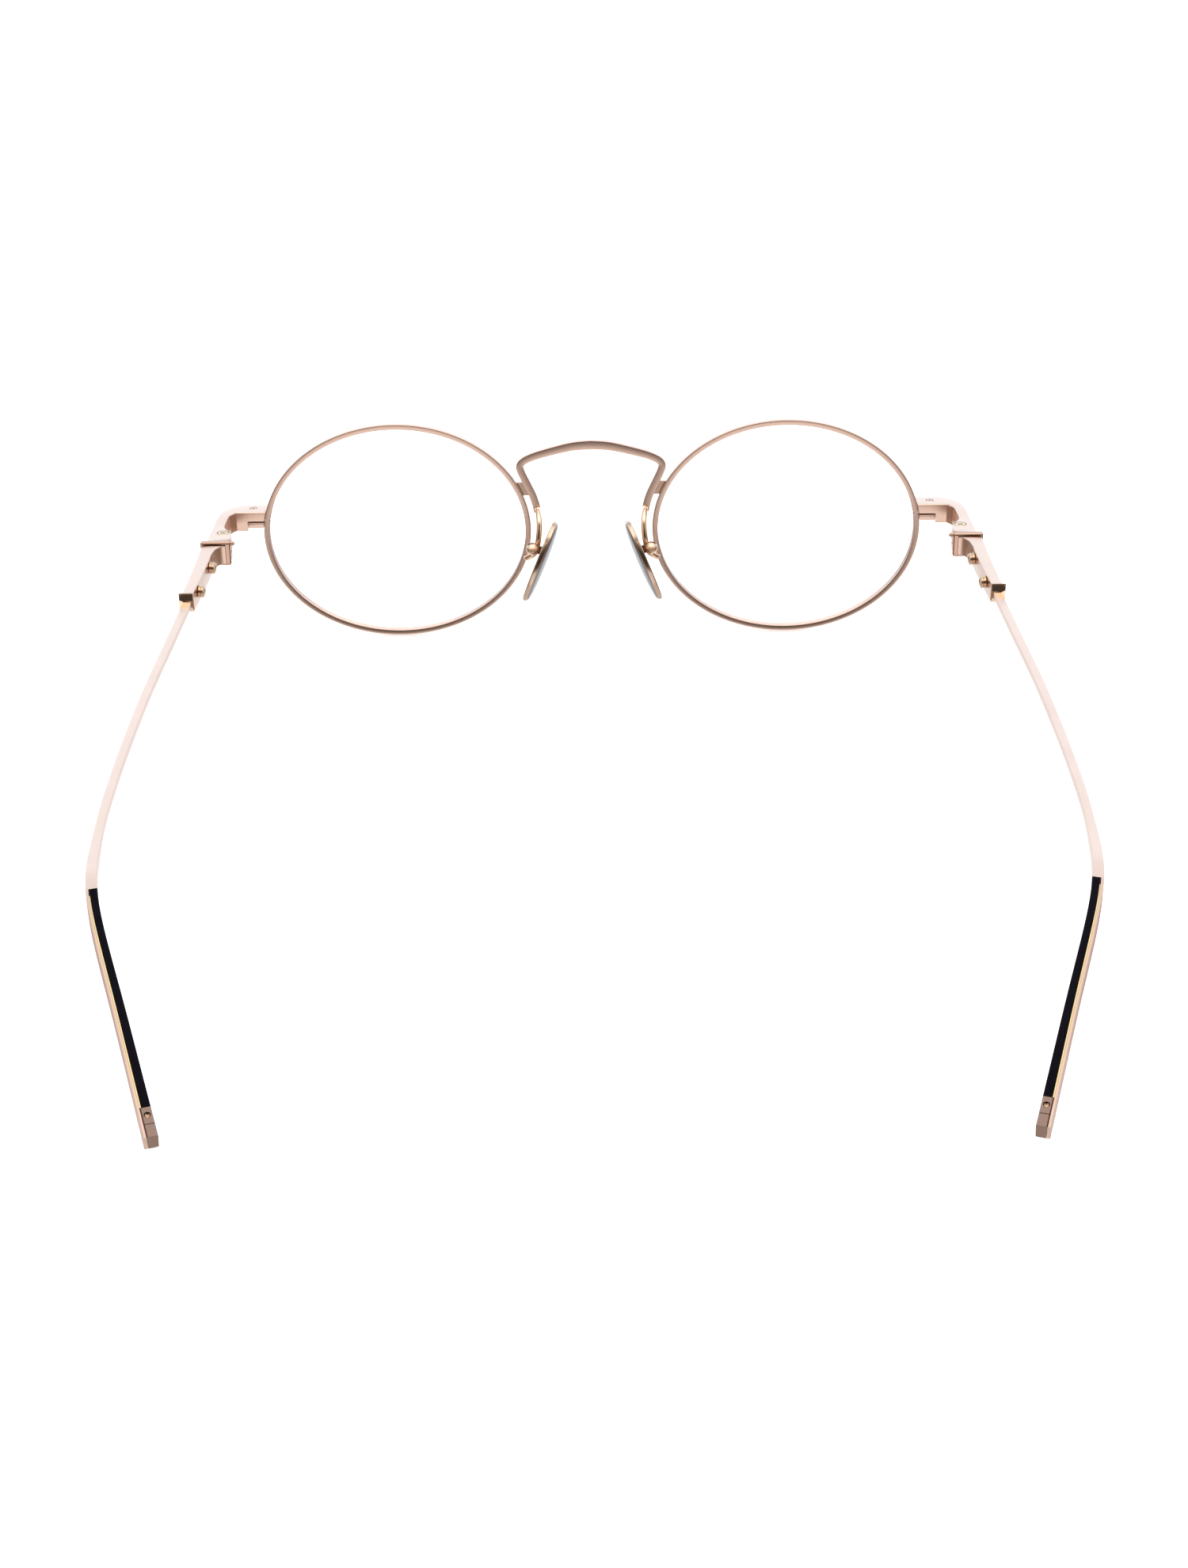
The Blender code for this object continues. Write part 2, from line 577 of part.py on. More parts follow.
def make_plate(parent):
    """Flat temple plate with a concave web in front and the middle knuckle of the hinge."""
    front = COLLAR_LOW[1]
    web_reach = plate_inner_x(WEB_REAR_Y) - PLATE_FRONT_LOW[0]
    web = []
    for step in range(WEB_STEPS + 1):
        angle = math.pi / 2.0 * (1.0 - step / WEB_STEPS)
        x = PLATE_FRONT_LOW[0] + web_reach * math.cos(angle)
        web.append((x, WEB_REAR_Y - WEB_LENGTH * math.sin(angle)))
    behind_web = [WEB_REAR_Y + (PLATE_REAR_Y - WEB_REAR_Y) * step / PLATE_STEPS
                  for step in range(1, PLATE_STEPS + 1)]
    inner = [(plate_inner_x(y), y) for y in behind_web]
    outer = [(plate_outer_x(y), y) for y in (*reversed(behind_web), WEB_REAR_Y, front)]
    outline = [(PLATE_FRONT_LOW[0], front), *web, *inner, *outer]
    bm = outline_solid(outline, PLATE_FRONT_LOW[1], PLATE_FRONT_HIGH[1])
    for vert in bm.verts:
        vert.co.z -= PLATE_DROP * (vert.co.y - front)
    part = add_part("temple_plate_left", from_hinge(bm), MATERIALS["rose_gold"], parent)
    root_x = PLATE_FRONT_LOW[0] + FIT_GAP
    knuckle = [(HINGE[0] + KNUCKLE_RADIUS, front + TONGUE_REACH), (root_x, front + TONGUE_REACH),
               (root_x, front), (HINGE[0] - KNUCKLE_RADIUS, front - TONGUE_SHOULDER)]
    for step in range(KNUCKLE_STEPS + 1):
        angle = math.pi + math.pi * step / KNUCKLE_STEPS
        knuckle.append((HINGE[0] + KNUCKLE_RADIUS * math.cos(angle),
                        HINGE[1] + KNUCKLE_RADIUS * math.sin(angle)))
    tongue = outline_solid(knuckle, HINGE[2] - KNUCKLE_HALF_HEIGHT, HINGE[2] + KNUCKLE_HALF_HEIGHT)
    add_boolean(part, from_hinge(tongue), "UNION")
    reach = Vector((0.0, 0.0, KNUCKLE_HALF_HEIGHT + CUT_OVERSHOOT))
    bore = cylinder(HINGE_PIN_RADIUS + FIT_GAP, -reach, reach, PIN_SEGMENTS)
    add_boolean(part, bore)
    return part


def make_collar(parent):
    """Rectangular collar with rounded edges round the front of the plate."""
    block = from_hinge(box(COLLAR_LOW, COLLAR_HIGH))
    part = add_part("temple_collar_left", block, MATERIALS["pale_gold"], parent)
    add_bevel(part, COLLAR_ROUND, 2)
    low_x, low_z = PLATE_FRONT_LOW
    low_z -= PLATE_DROP * (COLLAR_HIGH[1] - COLLAR_LOW[1])
    hole = box((low_x - FIT_GAP, COLLAR_LOW[1] - CUT_OVERSHOOT, low_z - FIT_GAP),
               (plate_outer_x(COLLAR_HIGH[1]) + FIT_GAP, COLLAR_HIGH[1] + CUT_OVERSHOOT,
                PLATE_FRONT_HIGH[1] + FIT_GAP))
    add_boolean(part, from_hinge(hole))
    return part


def make_stud(parent, place):
    """Round stud that stands on the inner face of the plate."""
    y = STUD_Y[place]
    slope = (plate_inner_x(PLATE_REAR_Y) - plate_inner_x(WEB_REAR_Y)) / (PLATE_REAR_Y - WEB_REAR_Y)
    inward = Vector((-1.0, slope, 0.0)).normalized()
    base = Vector((plate_inner_x(y), y, plate_middle_z(y) + STUD_RISE)) + inward * STUD_GAP
    bm = cylinder(STUD_RADIUS, base, base + inward * STUD_LENGTH, STUD_SEGMENTS)
    return add_part("stud_" + place + "_left", from_hinge(bm), MATERIALS["screw"], parent)


def section(point, along, inner, outer, half_height):
    """Rectangular section across the temple: inner and outer are counted away from the head."""
    level = Vector((along.y, -along.x, 0.0)).normalized()
    up = level.cross(along).normalized()
    corners = ((inner, -half_height), (outer, -half_height), (outer, half_height), (inner, half_height))
    return [point + level * across + up * height for across, height in corners]


def temple_line():
    """Points and directions along the temple's centreline."""
    line = smooth_path(TEMPLE_PATH, PATH_STEPS)
    ahead = line[1:] + line[-1:]
    behind = line[:1] + line[:-1]
    return [(point, (after - before).normalized()) for point, before, after in zip(line, behind, ahead)]


def tip_half_width(y):
    """Half width of the temple, which widens at the bend and again to the end."""
    if y < SLEEVE_START_Y:
        share = min(max((y - WIDEN_START_Y) / (SLEEVE_START_Y - WIDEN_START_Y), 0.0), 1.0)
        return BAR_HALF_WIDTH + (TIP_HALF_WIDTH_START - BAR_HALF_WIDTH) * share
    share = (y - SLEEVE_START_Y) / (TEMPLE_PATH[-1][1] - SLEEVE_START_Y)
    return TIP_HALF_WIDTH_START + (TIP_HALF_WIDTH_END - TIP_HALF_WIDTH_START) * share


def tip_half_height(y):
    share = min(max((y - WIDEN_START_Y) / (SLEEVE_START_Y - WIDEN_START_Y), 0.0), 1.0)
    return BAR_HALF_HEIGHT + (TIP_HALF_HEIGHT - BAR_HALF_HEIGHT) * share


def line_at(y):
    """The centreline's point and direction where it crosses a distance aft."""
    line = temple_line()
    for (near, near_way), (far, far_way) in zip(line, line[1:]):
        if near.y <= y <= far.y:
            share = (y - near.y) / (far.y - near.y)
            return near.lerp(far, share), near_way.lerp(far_way, share).normalized()
    return line[-1]


def stations(start, end):
    """Centreline stations between two distances aft, with both ends."""
    first = start + STATION_CLEARANCE
    last = end - STATION_CLEARANCE
    inside = [item for item in temple_line() if first < item[0].y < last]
    return [line_at(start), *inside, line_at(end)]


def make_ferrule(parent):
    """Tapered end of the plate, with an outward bulge, that narrows to the bar."""
    start_y = PLATE_REAR_Y + FIT_GAP
    outer = plate_outer_x(start_y)
    middle = plate_middle_z(start_y)
    half = (PLATE_FRONT_HIGH[1] - PLATE_FRONT_LOW[1]) / 2.0
    inner = outer - PLATE_REAR_WIDTH
    bead = outer + FERRULE_BULGE
    rows = (
        (start_y, inner, outer, half, middle),
        (start_y + FERRULE_BEAD_END, inner, bead, half, middle),
        (start_y + FERRULE_NECK, inner + FERRULE_NECK_INSET, bead, half * FERRULE_NECK_HEIGHT,
         middle - FERRULE_NECK_DROP))
    rings = []
    for y, low_x, high_x, half_height, centre in rows:
        rings.append([(low_x, y, centre - half_height), (high_x, y, centre - half_height),
                      (high_x, y, centre + half_height), (low_x, y, centre + half_height)])
    point, along = line_at(TEMPLE_PATH[0][1])
    rings.append(section(point - along * FIT_GAP, along, -BAR_HALF_WIDTH, BAR_HALF_WIDTH, BAR_HALF_HEIGHT))
    return add_part("temple_ferrule_left", from_hinge(loft(rings)), MATERIALS["pale_gold"], parent)


def make_bar(parent):
    """Slim bar that widens at the bend and goes on as the outer wall of the tip."""
    rings = []
    for point, along in stations(TEMPLE_PATH[0][1], SLEEVE_START_Y):
        half = tip_half_width(point.y)
        rings.append(section(point, along, -half, half, tip_half_height(point.y)))
    for point, along in stations(SLEEVE_START_Y + FIT_GAP, TEMPLE_PATH[-1][1]):
        half = tip_half_width(point.y)
        rings.append(section(point, along, half - SLEEVE_WALL, half, tip_half_height(point.y)))
    return add_part("temple_bar_left", from_hinge(loft(rings)), MATERIALS["rose_gold"], parent)


def make_tip_filler(parent, name, start, end, material):
    """A length of the tip that lies against the bar's outer wall."""
    rings = []
    for point, along in stations(start, end):
        half = tip_half_width(point.y)
        rings.append(section(point, along, -half, half - SLEEVE_WALL - FIT_GAP, tip_half_height(point.y)))
    return add_part(name, from_hinge(loft(rings)), MATERIALS[material], parent)


def tip_screw_axis():
    """Top centre of the end cap's screw and the direction that points down through it."""
    y = CAP_START_Y + TIP_SCREW_FROM_CAP
    point, along = line_at(y)
    level = Vector((along.y, -along.x, 0.0)).normalized()
    up = level.cross(along).normalized()
    centre = point + level * (-SLEEVE_WALL / 2.0) + up * tip_half_height(y)
    return centre - Vector(HINGE), up


def make_tip_cap(parent):
    """Metal end cap with a small screw from above."""
    end = TEMPLE_PATH[-1][1]
    part = make_tip_filler(parent, "tip_end_cap_left", CAP_START_Y + FIT_GAP, end, "rose_gold")
    top, up = tip_screw_axis()
    hole = cylinder(TIP_SCREW_HEAD_RADIUS + FIT_GAP, top + up, top - up * TIP_HOLE_DEPTH, PIN_SEGMENTS)
    add_boolean(part, hole)
    return part


def make_tip_screw(parent):
    top, up = tip_screw_axis()
    bm = cylinder(TIP_SCREW_HEAD_RADIUS, top - up * TIP_SCREW_SUNK, top - up * TIP_SCREW_DEPTH, PIN_SEGMENTS)
    return add_part("tip_screw_left", bm, MATERIALS["screw"], parent)


def make_pad_arm(parent):
    """Bent wire from the bridge's leg, back past the pad box, to its foot on the rim."""
    path = smooth_path(PAD_WIRE, PAD_WIRE_STEPS)
    return add_part("pad_arm_left", wire_solid(path, PAD_WIRE_RADIUS), MATERIALS["pale_gold"], parent)


def make_pad_box(parent):
    """Ball-shaped box, slotted for the pad's lug and bored for its screw."""
    bm = bmesh.new()
    bmesh.ops.create_uvsphere(bm, u_segments=PAD_BOX_SEGMENTS, v_segments=PAD_BOX_RINGS,
                              radius=PAD_BOX_RADIUS)
    bmesh.ops.translate(bm, vec=PAD_BOX, verts=bm.verts)
    part = add_part("pad_box_left", bm, MATERIALS["pale_gold"], parent)
    x, y, z = PAD_BOX
    half = PAD_LUG_THICKNESS / 2.0 + FIT_GAP
    past = PAD_BOX_RADIUS + CUT_OVERSHOOT
    slot = box((x - past, y - half, z - past), (x + PAD_LUG_RADIUS + FIT_GAP, y + half, z + past))
    add_boolean(part, slot)
    add_boolean(part, cylinder(PAD_PIN_RADIUS + FIT_GAP, (x, y - past, z), (x, y + past, z), PIN_SEGMENTS))
    return part


def make_pad_screw(parent):
    x, y, z = PAD_BOX
    front = y - PAD_BOX_RADIUS
    rear = y + PAD_BOX_RADIUS + FIT_GAP
    rings = []
    for reach, depth in ((PAD_PIN_RADIUS, front), (PAD_PIN_RADIUS, rear), (PAD_PIN_HEAD_RADIUS, rear),
                         (PAD_PIN_HEAD_RADIUS, rear + PAD_PIN_HEAD_HEIGHT)):
        angles = [math.tau * step / PIN_SEGMENTS for step in range(PIN_SEGMENTS)]
        rings.append([(x + reach * math.cos(a), depth, z + reach * math.sin(a)) for a in angles])
    return add_part("pad_screw_left", loft(rings), MATERIALS["screw"], parent)


def make_nose_pad(parent):
    """Oval leaf, domed toward the nose, with a bored lug on its back. Its origin is the pad screw."""
    rows = [(1.0, 0.0), (1.0, PAD_EDGE)]
    rows += [(scale, PAD_EDGE + PAD_DOME * rise) for scale, rise in PAD_DOME_ROWS]
    rings = []
    for scale, rise in rows:
        angles = [math.tau * step / PAD_SEGMENTS for step in range(PAD_SEGMENTS)]
        rings.append([(-rise, PAD_HALF_WIDTH * scale * math.cos(a), PAD_HALF_LENGTH * scale * math.sin(a))
                      for a in angles])
    leaf = loft(rings)
    lean = Matrix.Rotation(-PAD_FRONTAL_ANGLE, 4, "Y") @ Matrix.Rotation(-PAD_SPLAY_ANGLE, 4, "Z")
    offset = Vector(PAD_CENTRE) - Vector(PAD_BOX)
    leaf.transform(Matrix.Translation(offset) @ lean)
    part = add_part("nose_pad_left", leaf, MATERIALS["pad"], parent)
    half = PAD_LUG_THICKNESS / 2.0
    angles = [math.pi / 2.0 - math.pi * step / LUG_STEPS for step in range(LUG_STEPS + 1)]
    outline = [(PAD_LUG_RADIUS * math.cos(a), PAD_LUG_RADIUS * math.sin(a)) for a in angles]
    outline += [(-PAD_LUG_REACH, PAD_LUG_LOW), (-PAD_LUG_REACH, PAD_LUG_HIGH)]
    lug = loft([[(x, y, z) for x, z in outline] for y in (-half, half)])
    add_boolean(part, lug, "UNION")
    bore = cylinder(PAD_PIN_RADIUS + FIT_GAP, (0.0, -CUT_OVERSHOOT, 0.0), (0.0, CUT_OVERSHOOT, 0.0),
                    PIN_SEGMENTS)
    add_boolean(part, bore)
    return part


def build():
    ground = make_empty("glasses_origin", (0.0, -FOOTPRINT_MID_Y, 0.0))
    front = make_empty("front_plane", (0.0, 0.0, FRONT_HEIGHT), ground, FRONT_TILT)
    hinge_left = make_empty("temple_hinge_left", HINGE, ground)
    hinge_right = make_empty("temple_hinge_right", (-HINGE[0], HINGE[1], HINGE[2]), ground)
    pad_left = make_empty("pad_pivot_left", PAD_BOX, front)
    pad_right = make_empty("pad_pivot_right", (-PAD_BOX[0], PAD_BOX[1], PAD_BOX[2]), front)
    make_bridge(front)
    front_makers = (make_rim, make_lens, make_pad_arm, make_pad_box, make_pad_screw)
    front_parts = [maker(front) for maker in front_makers]
    arm_makers = (make_endpiece, make_rim_lock, make_rim_screw, make_hinge_screw)
    arm_parts = [maker(ground) for maker in arm_makers]
    temple_makers = (make_plate, make_collar, make_ferrule, make_bar, make_tip_cap, make_tip_screw)
    temple_parts = [maker(hinge_left) for maker in temple_makers]
    temple_parts += [make_stud(hinge_left, place) for place in STUD_Y]
    temple_parts.append(make_tip_filler(hinge_left, "tip_sleeve_left", SLEEVE_START_Y + 2.0 * FIT_GAP,
                                        CAP_START_Y, "tip_black"))
    pad_parts = [make_nose_pad(pad_left)]
    bpy.context.view_layer.update()
    for parts, parent in ((front_parts, front), (arm_parts, ground), (temple_parts, hinge_right),
                          (pad_parts, pad_right)):
        for part in parts:
            mirrored(part, parent)


clear_scene()
PARTS = make_collection(COLLECTION_NAME)
TOOLS = make_collection("cutters")
MATERIALS = {
    "rose_gold": make_material("rose_gold", ROSE_GOLD, 0.25, 1.0),
    "pale_gold": make_material("pale_gold", PALE_GOLD, 0.15, 1.0),
    "screw": make_material("screw_gold", SCREW_GOLD, 0.3, 1.0),
    "pad": make_material("pad_metal", SILVER_GREY, 0.35, 1.0),
    "lens": make_material("lens_clear", LENS_CLEAR, 0.02, 0.0, 0.2),
    "tip_black": make_material("tip_black", TIP_BLACK, 0.08, 0.0),
}
build()
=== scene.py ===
"""Looks of the oval wire eyeglasses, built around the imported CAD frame.

Shapes are given in millimetres in the glasses' own axes and turned into metres when they are placed:
+X is the wearer's left, the front faces -Y, the temples run to +Y and +Z is up. Distances aft are counted
from the plane of the rims. Left-hand pieces are modelled and the right-hand ones are their mirror images.
"""

import math

import bmesh
import bpy
from mathutils import Matrix, Vector


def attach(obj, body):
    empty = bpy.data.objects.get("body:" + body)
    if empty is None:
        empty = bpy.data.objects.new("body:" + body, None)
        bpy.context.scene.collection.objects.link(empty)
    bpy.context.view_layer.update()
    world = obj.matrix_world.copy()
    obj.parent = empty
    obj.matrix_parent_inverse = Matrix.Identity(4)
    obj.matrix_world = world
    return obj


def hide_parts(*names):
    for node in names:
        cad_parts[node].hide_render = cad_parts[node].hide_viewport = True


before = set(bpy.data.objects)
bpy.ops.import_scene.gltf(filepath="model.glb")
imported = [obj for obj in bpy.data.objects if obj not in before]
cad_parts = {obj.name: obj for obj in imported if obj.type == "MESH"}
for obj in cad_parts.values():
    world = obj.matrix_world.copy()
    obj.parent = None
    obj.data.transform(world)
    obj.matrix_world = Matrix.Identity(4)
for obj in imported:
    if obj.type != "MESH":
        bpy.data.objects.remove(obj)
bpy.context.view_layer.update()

MM = 0.001
FIT_GAP = 0.05
OVERSHOOT = 1.0           # how far a cutting shape runs past what it cuts

# Dimensions, the same as the CAD's wherever it has them
RIMS_PLANE_Y = -75.52
FRONT_HEIGHT = 18.913
FRONT_TILT = math.radians(8.8)
OPENING_A = 22.5
OPENING_B = 18.1
LENS_PITCH = 34.1
RIM_BAND = 0.95
RIM_DEPTH = 1.7
GROOVE_DEPTH = 0.45
GROOVE_HALF = 0.42
RIM_CORNER = 0.2
RIM_CORNER_STEPS = 4
DISH_RADIUS = 200.0
DISH_MID = 0.85
LENS_HALF_THICKNESS = 0.9
LENS_RING_SHARES = (0.04, 0.2, 0.4, 0.6, 0.78, 0.9, 0.96)
RIM_SPLIT_ANGLE = math.radians(7.2)
RIM_SPLIT_GAP = 0.3
BRIDGE_DEPTH = 1.2
BRIDGE_CROWN_WIDTH = 1.63
BRIDGE_LEG_WIDTH = 1.28
BRIDGE_SHOULDER_UP = 12.15
BRIDGE_CORNER = 0.16
BRIDGE_HALF = (
    (0.0, 14.95), (2.6, 14.80), (4.9, 14.38), (8.4, 13.50), (10.3, 12.90), (11.8, BRIDGE_SHOULDER_UP),
    (12.42, 11.30), (12.25, 10.35), (11.63, 8.98), (10.9, 7.45), (10.3, 6.16), (9.8, 4.64), (9.45, 3.1))
SOLDER_LUG_TOP = 8.4
SOLDER_LUG_BOTTOM = 6.1
SOLDER_LUG_DEPTH = 1.0
SOLDER_LUG_STEPS = 10
SOLDER_BEAD_RADIUS = 0.17
SOLDER_BEAD_INSET = 0.16
SOLDER_BEAD_SINK = 0.02
SOLDER_BEAD_STEPS = 4
ARM_TOP = 23.15
ARM_HEIGHT = 3.55
ARM_FRONT_Y = -2.2
ARM_BACK_Y = 1.35
ARM_INNER_X = 56.6
ARM_OUTER_X = 65.95
ARM_CORNER = 0.28
ARM_STEPS = 72
ARM_SHOULDER = (
    (60.0, ARM_FRONT_Y), (60.9, -2.1), (62.2, -1.65), (63.3, -0.95), (64.1, 0.0), (64.7, 1.1),
    (65.15, 2.8), (65.4, 4.7), (65.65, 6.9), (65.85, 9.45), (ARM_OUTER_X, 11.1))
BLOCK_INNER_X = 62.0
BLOCK_REAR_Y = 12.25
BLOCK_TOP = 22.75
BLOCK_BOTTOM = 18.75
BLOCK_LEVEL_Y = 7.8
ARM_WAIST = (
    (62.2, ARM_BACK_Y), (62.8, 2.1), (63.2, 2.75), (63.4, 4.2), (63.55, 5.8), (63.5, 6.9),
    (63.0, 7.8), (62.4, 8.7), (BLOCK_INNER_X, 10.4))
BLOCK_CORNER = ((BLOCK_INNER_X, 11.5), (62.1, 11.85), (62.7, 12.12))
RIM_CLEAR_DEPTH = 5.0
LOCK_OUTER_X = 60.2
LOCK_TOP = 21.15
LOCK_BOTTOM = 20.15
LOCK_SLIT_TOP = 21.45
LOCK_CORNER = 0.18
LOCK_SCREW = (59.35, -0.45)
LOCK_SCREW_RADIUS = 0.38
LOCK_HEAD_RADIUS = 0.62
LOCK_HEAD_HEIGHT = 0.45
SCREW_CHAMFER = 0.1
HINGE = (63.6, 9.05, 20.7)
HINGE_PIN_RADIUS = 0.55
HINGE_HEAD_RADIUS = 1.0
HINGE_HEAD_HEIGHT = 0.35
KNUCKLE_RADIUS = 1.5
KNUCKLE_HALF_HEIGHT = 0.65
TONGUE_SHOULDER = 1.7
TONGUE_ROOT = 1.0
TONGUE_ARC_STEPS = 24
COLLAR_LOW = (61.9, 12.35, 18.55)
COLLAR_HIGH = (67.03, 13.55, 22.95)
COLLAR_ROUNDING = 0.42
PLATE_FRONT_LOW = (62.75, 19.1)
PLATE_FRONT_HIGH = (66.72, 22.45)
PLATE_HALF_HEIGHT = (PLATE_FRONT_HIGH[1] - PLATE_FRONT_LOW[1]) / 2.0
PLATE_WIDTH = 2.2
PLATE_REAR_WIDTH = 1.85
PLATE_FLARE = 0.035
PLATE_BOW = 0.002
PLATE_DROP = 0.057
PLATE_REAR_Y = 30.35
WEB_REAR_Y = 17.6
WEB_LENGTH = 3.9
WEB_STEPS = 16
PLATE_STEPS = 10
PLATE_CORNER = 0.2
STUD_RADIUS = 1.05
STUD_LENGTH = 0.95
STUD_RISE = 0.3
STUD_GAP = 0.08
STUD_Y = {"front": 18.9, "rear": 27.2}
FERRULE_CORNER = 0.16
FERRULE_BAR_CORNER = 0.12
FERRULE_BULGE = 0.6
FERRULE_BEAD_START = 0.06
FERRULE_BEAD_END = 0.15
FERRULE_NECK = 0.35
FERRULE_NECK_INSET = 0.15
FERRULE_NECK_HEIGHT = 0.55
FERRULE_NECK_DROP = 0.35
TEMPLE_PATH = (
    (67.23, 31.0, 19.48), (68.53, 44.0, 18.6), (70.0, 58.5, 17.65), (71.0, 72.0, 16.75), (71.62, 84.0, 15.95),
    (71.87, 94.0, 15.25), (71.68, 103.0, 14.45), (71.05, 110.4, 13.7), (69.1, 119.1, 11.75),
    (63.7, 135.6, 6.8), (57.7, 154.1, 1.15))
BAR_HALF_WIDTH = 0.675
BAR_HALF_HEIGHT = 0.5
BAR_CORNER_WIDTH = 0.08
BAR_CORNER_HEIGHT = 0.1
TIP_HALF_WIDTH_START = 0.85
TIP_HALF_WIDTH_END = 1.0
TIP_HALF_HEIGHT = 1.2
WIDEN_START_Y = 98.0
SLEEVE_START_Y = 112.6
SLEEVE_WALL = 0.5
SLEEVE_CORNER = 0.22
SLEEVE_STEP = 0.6
CAP_START_Y = 149.6
CAP_CORNER = 0.2
CAP_STEP = 0.4
CAP_FIRST_STEP = 0.15
TIP_SCREW_RADIUS = 0.42
TIP_SCREW_FROM_CAP = 1.2
TIP_SCREW_DEPTH = 0.6     # of its hole
TIP_SCREW_END = -0.55
PAD_WIRE_RADIUS = 0.5
PAD_WIRE = (
    (9.42, 0.85, 3.75), (9.3, 1.8, 3.35), (9.15, 3.0, 2.3), (9.15, 3.7, 0.7), (9.3, 3.95, -0.8),
    (9.55, 3.8, -2.2), (9.9, 3.6, -3.3), (10.6, 3.1, -4.1), (11.25, 2.3, -4.65), (11.68, 1.5, -4.95))
PAD_BOX = (10.35, 5.25, -2.3)
PAD_BOX_RADIUS = 1.1
PAD_PIN_HEAD_RADIUS = 0.55
PAD_PIN_RADIUS = 0.3
PAD_PIN_HEAD_HEIGHT = 0.3
PAD_PIN_SLOT = 0.14
PAD_PIN_SLOT_DEPTH = 0.12
PAD_LUG_THICKNESS = 0.7
PAD_LUG_RADIUS = 0.75
PAD_LUG_REACH = 2.6
PAD_LUG_FOOT = (-1.0, 0.3)
PAD_LUG_ARC_STEPS = 16
PAD_CENTRE = (9.45, 6.0, -4.15)
PAD_HALF_LENGTH = 7.6
PAD_HALF_WIDTH = 4.1
PAD_EDGE = 0.85
PAD_DOME = 0.8
PAD_BACK_ROWS = (
    (0.55, 0.0), (0.94, 0.0), (0.985, 0.05), (1.0, 0.16), (1.0, PAD_EDGE - 0.1), (0.975, PAD_EDGE),
    (0.6, PAD_EDGE))
PAD_FRONTAL_ANGLE = math.radians(22.0)
PAD_SPLAY_ANGLE = math.radians(7.5)

# Fine detail that only the looks have
# painted highlight: a bright yellow line along the polished edge of the tip
HIGHLIGHT_LINE_START_Y = 114.0
HIGHLIGHT_LINE_RADIUS = 0.17
HIGHLIGHT_LINE_START_SHARE = 0.4
HIGHLIGHT_LINE_FADE = 10.0     # length over which the line grows to its full width
HIGHLIGHT_LINE_STEP = 0.8
PAD_FACE_SHARE = 0.96     # of the pad's outline
PAD_FACE_LIFT = 0.01
PAD_FACE_DOME = 0.8 * PAD_DOME
PAD_FACE_TURN = 0.97 * math.pi / 2.0
PAD_FACE_STEPS = 14
NUB_ROOT = (62.1, 12.75, 22.4)   # small stop on the collar's inner side
NUB_PROFILE = ((0.38, 0.0), (0.38, 0.7), (0.3, 0.85), (0.12, 0.92))
REED_PITCH = 0.43         # spacing of the fine teeth along the outer edge of the tip
REED_DEPTH = 0.11
REED_START_Y = 106.0
REED_WIDTH = 0.22
REED_FADE = 4.0           # length over which the reeding reaches its full depth
REED_DROP = 0.07
CAP_JOINT = 2.6           # joint line of the end cap, behind its front edge
CAP_JOINT_DEPTH = 0.06
RECESS_WIDTH = 0.12       # cross recess of a screw
RECESS_REACH = 0.62       # of the head's radius
RECESS_DEPTH = 0.6        # of the head's height
BEVEL_FROM = math.radians(30.0)     # corners sharper than this are rounded
SMOOTH_BELOW = 32.0       # degrees: flatter edges than this are shaded smooth
REED_SMOOTH_BELOW = 25.0
FINE_STEPS = 240
SKIN = 0.015              # how far the finely divided surfaces stay inside the CAD's

GROUND = Matrix.Translation((0.0, RIMS_PLANE_Y, 0.0))
FRONT_LEAN = Matrix.Translation((0.0, 0.0, FRONT_HEIGHT)) @ Matrix.Rotation(FRONT_TILT, 4, "X")
FRONT = GROUND @ FRONT_LEAN
PAD = FRONT @ Matrix.Translation(PAD_BOX)


# ---------- meshes

def mesh_object(bm, matrix, name="piece"):
    """A scratch object in metres from a bmesh in millimetres."""
    bm.transform(matrix)
    bmesh.ops.scale(bm, vec=(MM, MM, MM), verts=bm.verts)
    bmesh.ops.recalc_face_normals(bm, faces=bm.faces)
    mesh = bpy.data.meshes.new(name)
    bm.to_mesh(mesh)
    bm.free()
    item = bpy.data.objects.new(name, mesh)
    bpy.context.scene.collection.objects.link(item)
    return item


def add_bevel(item, width, segments):
    modifier = item.modifiers.new("Round", "BEVEL")
    modifier.width = width * MM
    modifier.segments = segments
    modifier.limit_method = "ANGLE"
    modifier.angle_limit = BEVEL_FROM


def solid(bm, matrix=GROUND, bevel=0.0, segments=3, cuts=(), joins=(), smooth=SMOOTH_BELOW):
    """The finished mesh of a shape: rounded edges first, then what is joined to it and cut from it."""
    item = mesh_object(bm, matrix)
    if bevel:
        add_bevel(item, bevel, segments)
    tools = []
    for operation, shapes in (("UNION", joins), ("DIFFERENCE", cuts)):
        for shape in shapes:
            tool = mesh_object(shape, matrix, "tool")
            modifier = item.modifiers.new(operation.title(), "BOOLEAN")
            modifier.operation = operation
            modifier.solver = "EXACT"
            modifier.object = tool
            tools.append(tool)
    graph = bpy.context.evaluated_depsgraph_get()
    mesh = bpy.data.meshes.new_from_object(item.evaluated_get(graph))
    for scratch in (item, *tools):
        bpy.data.objects.remove(scratch, do_unlink=True)
    mesh.shade_smooth()
    mesh.set_sharp_from_angle(angle=math.radians(smooth))
    return mesh


def mirrored(mesh):
    bm = bmesh.new()
    bm.from_mesh(mesh)
    bmesh.ops.scale(bm, vec=(-1.0, 1.0, 1.0), verts=bm.verts)
    bmesh.ops.reverse_faces(bm, faces=bm.faces)
    twin = mesh.copy()
    bm.to_mesh(twin)
    bm.free()
    return twin


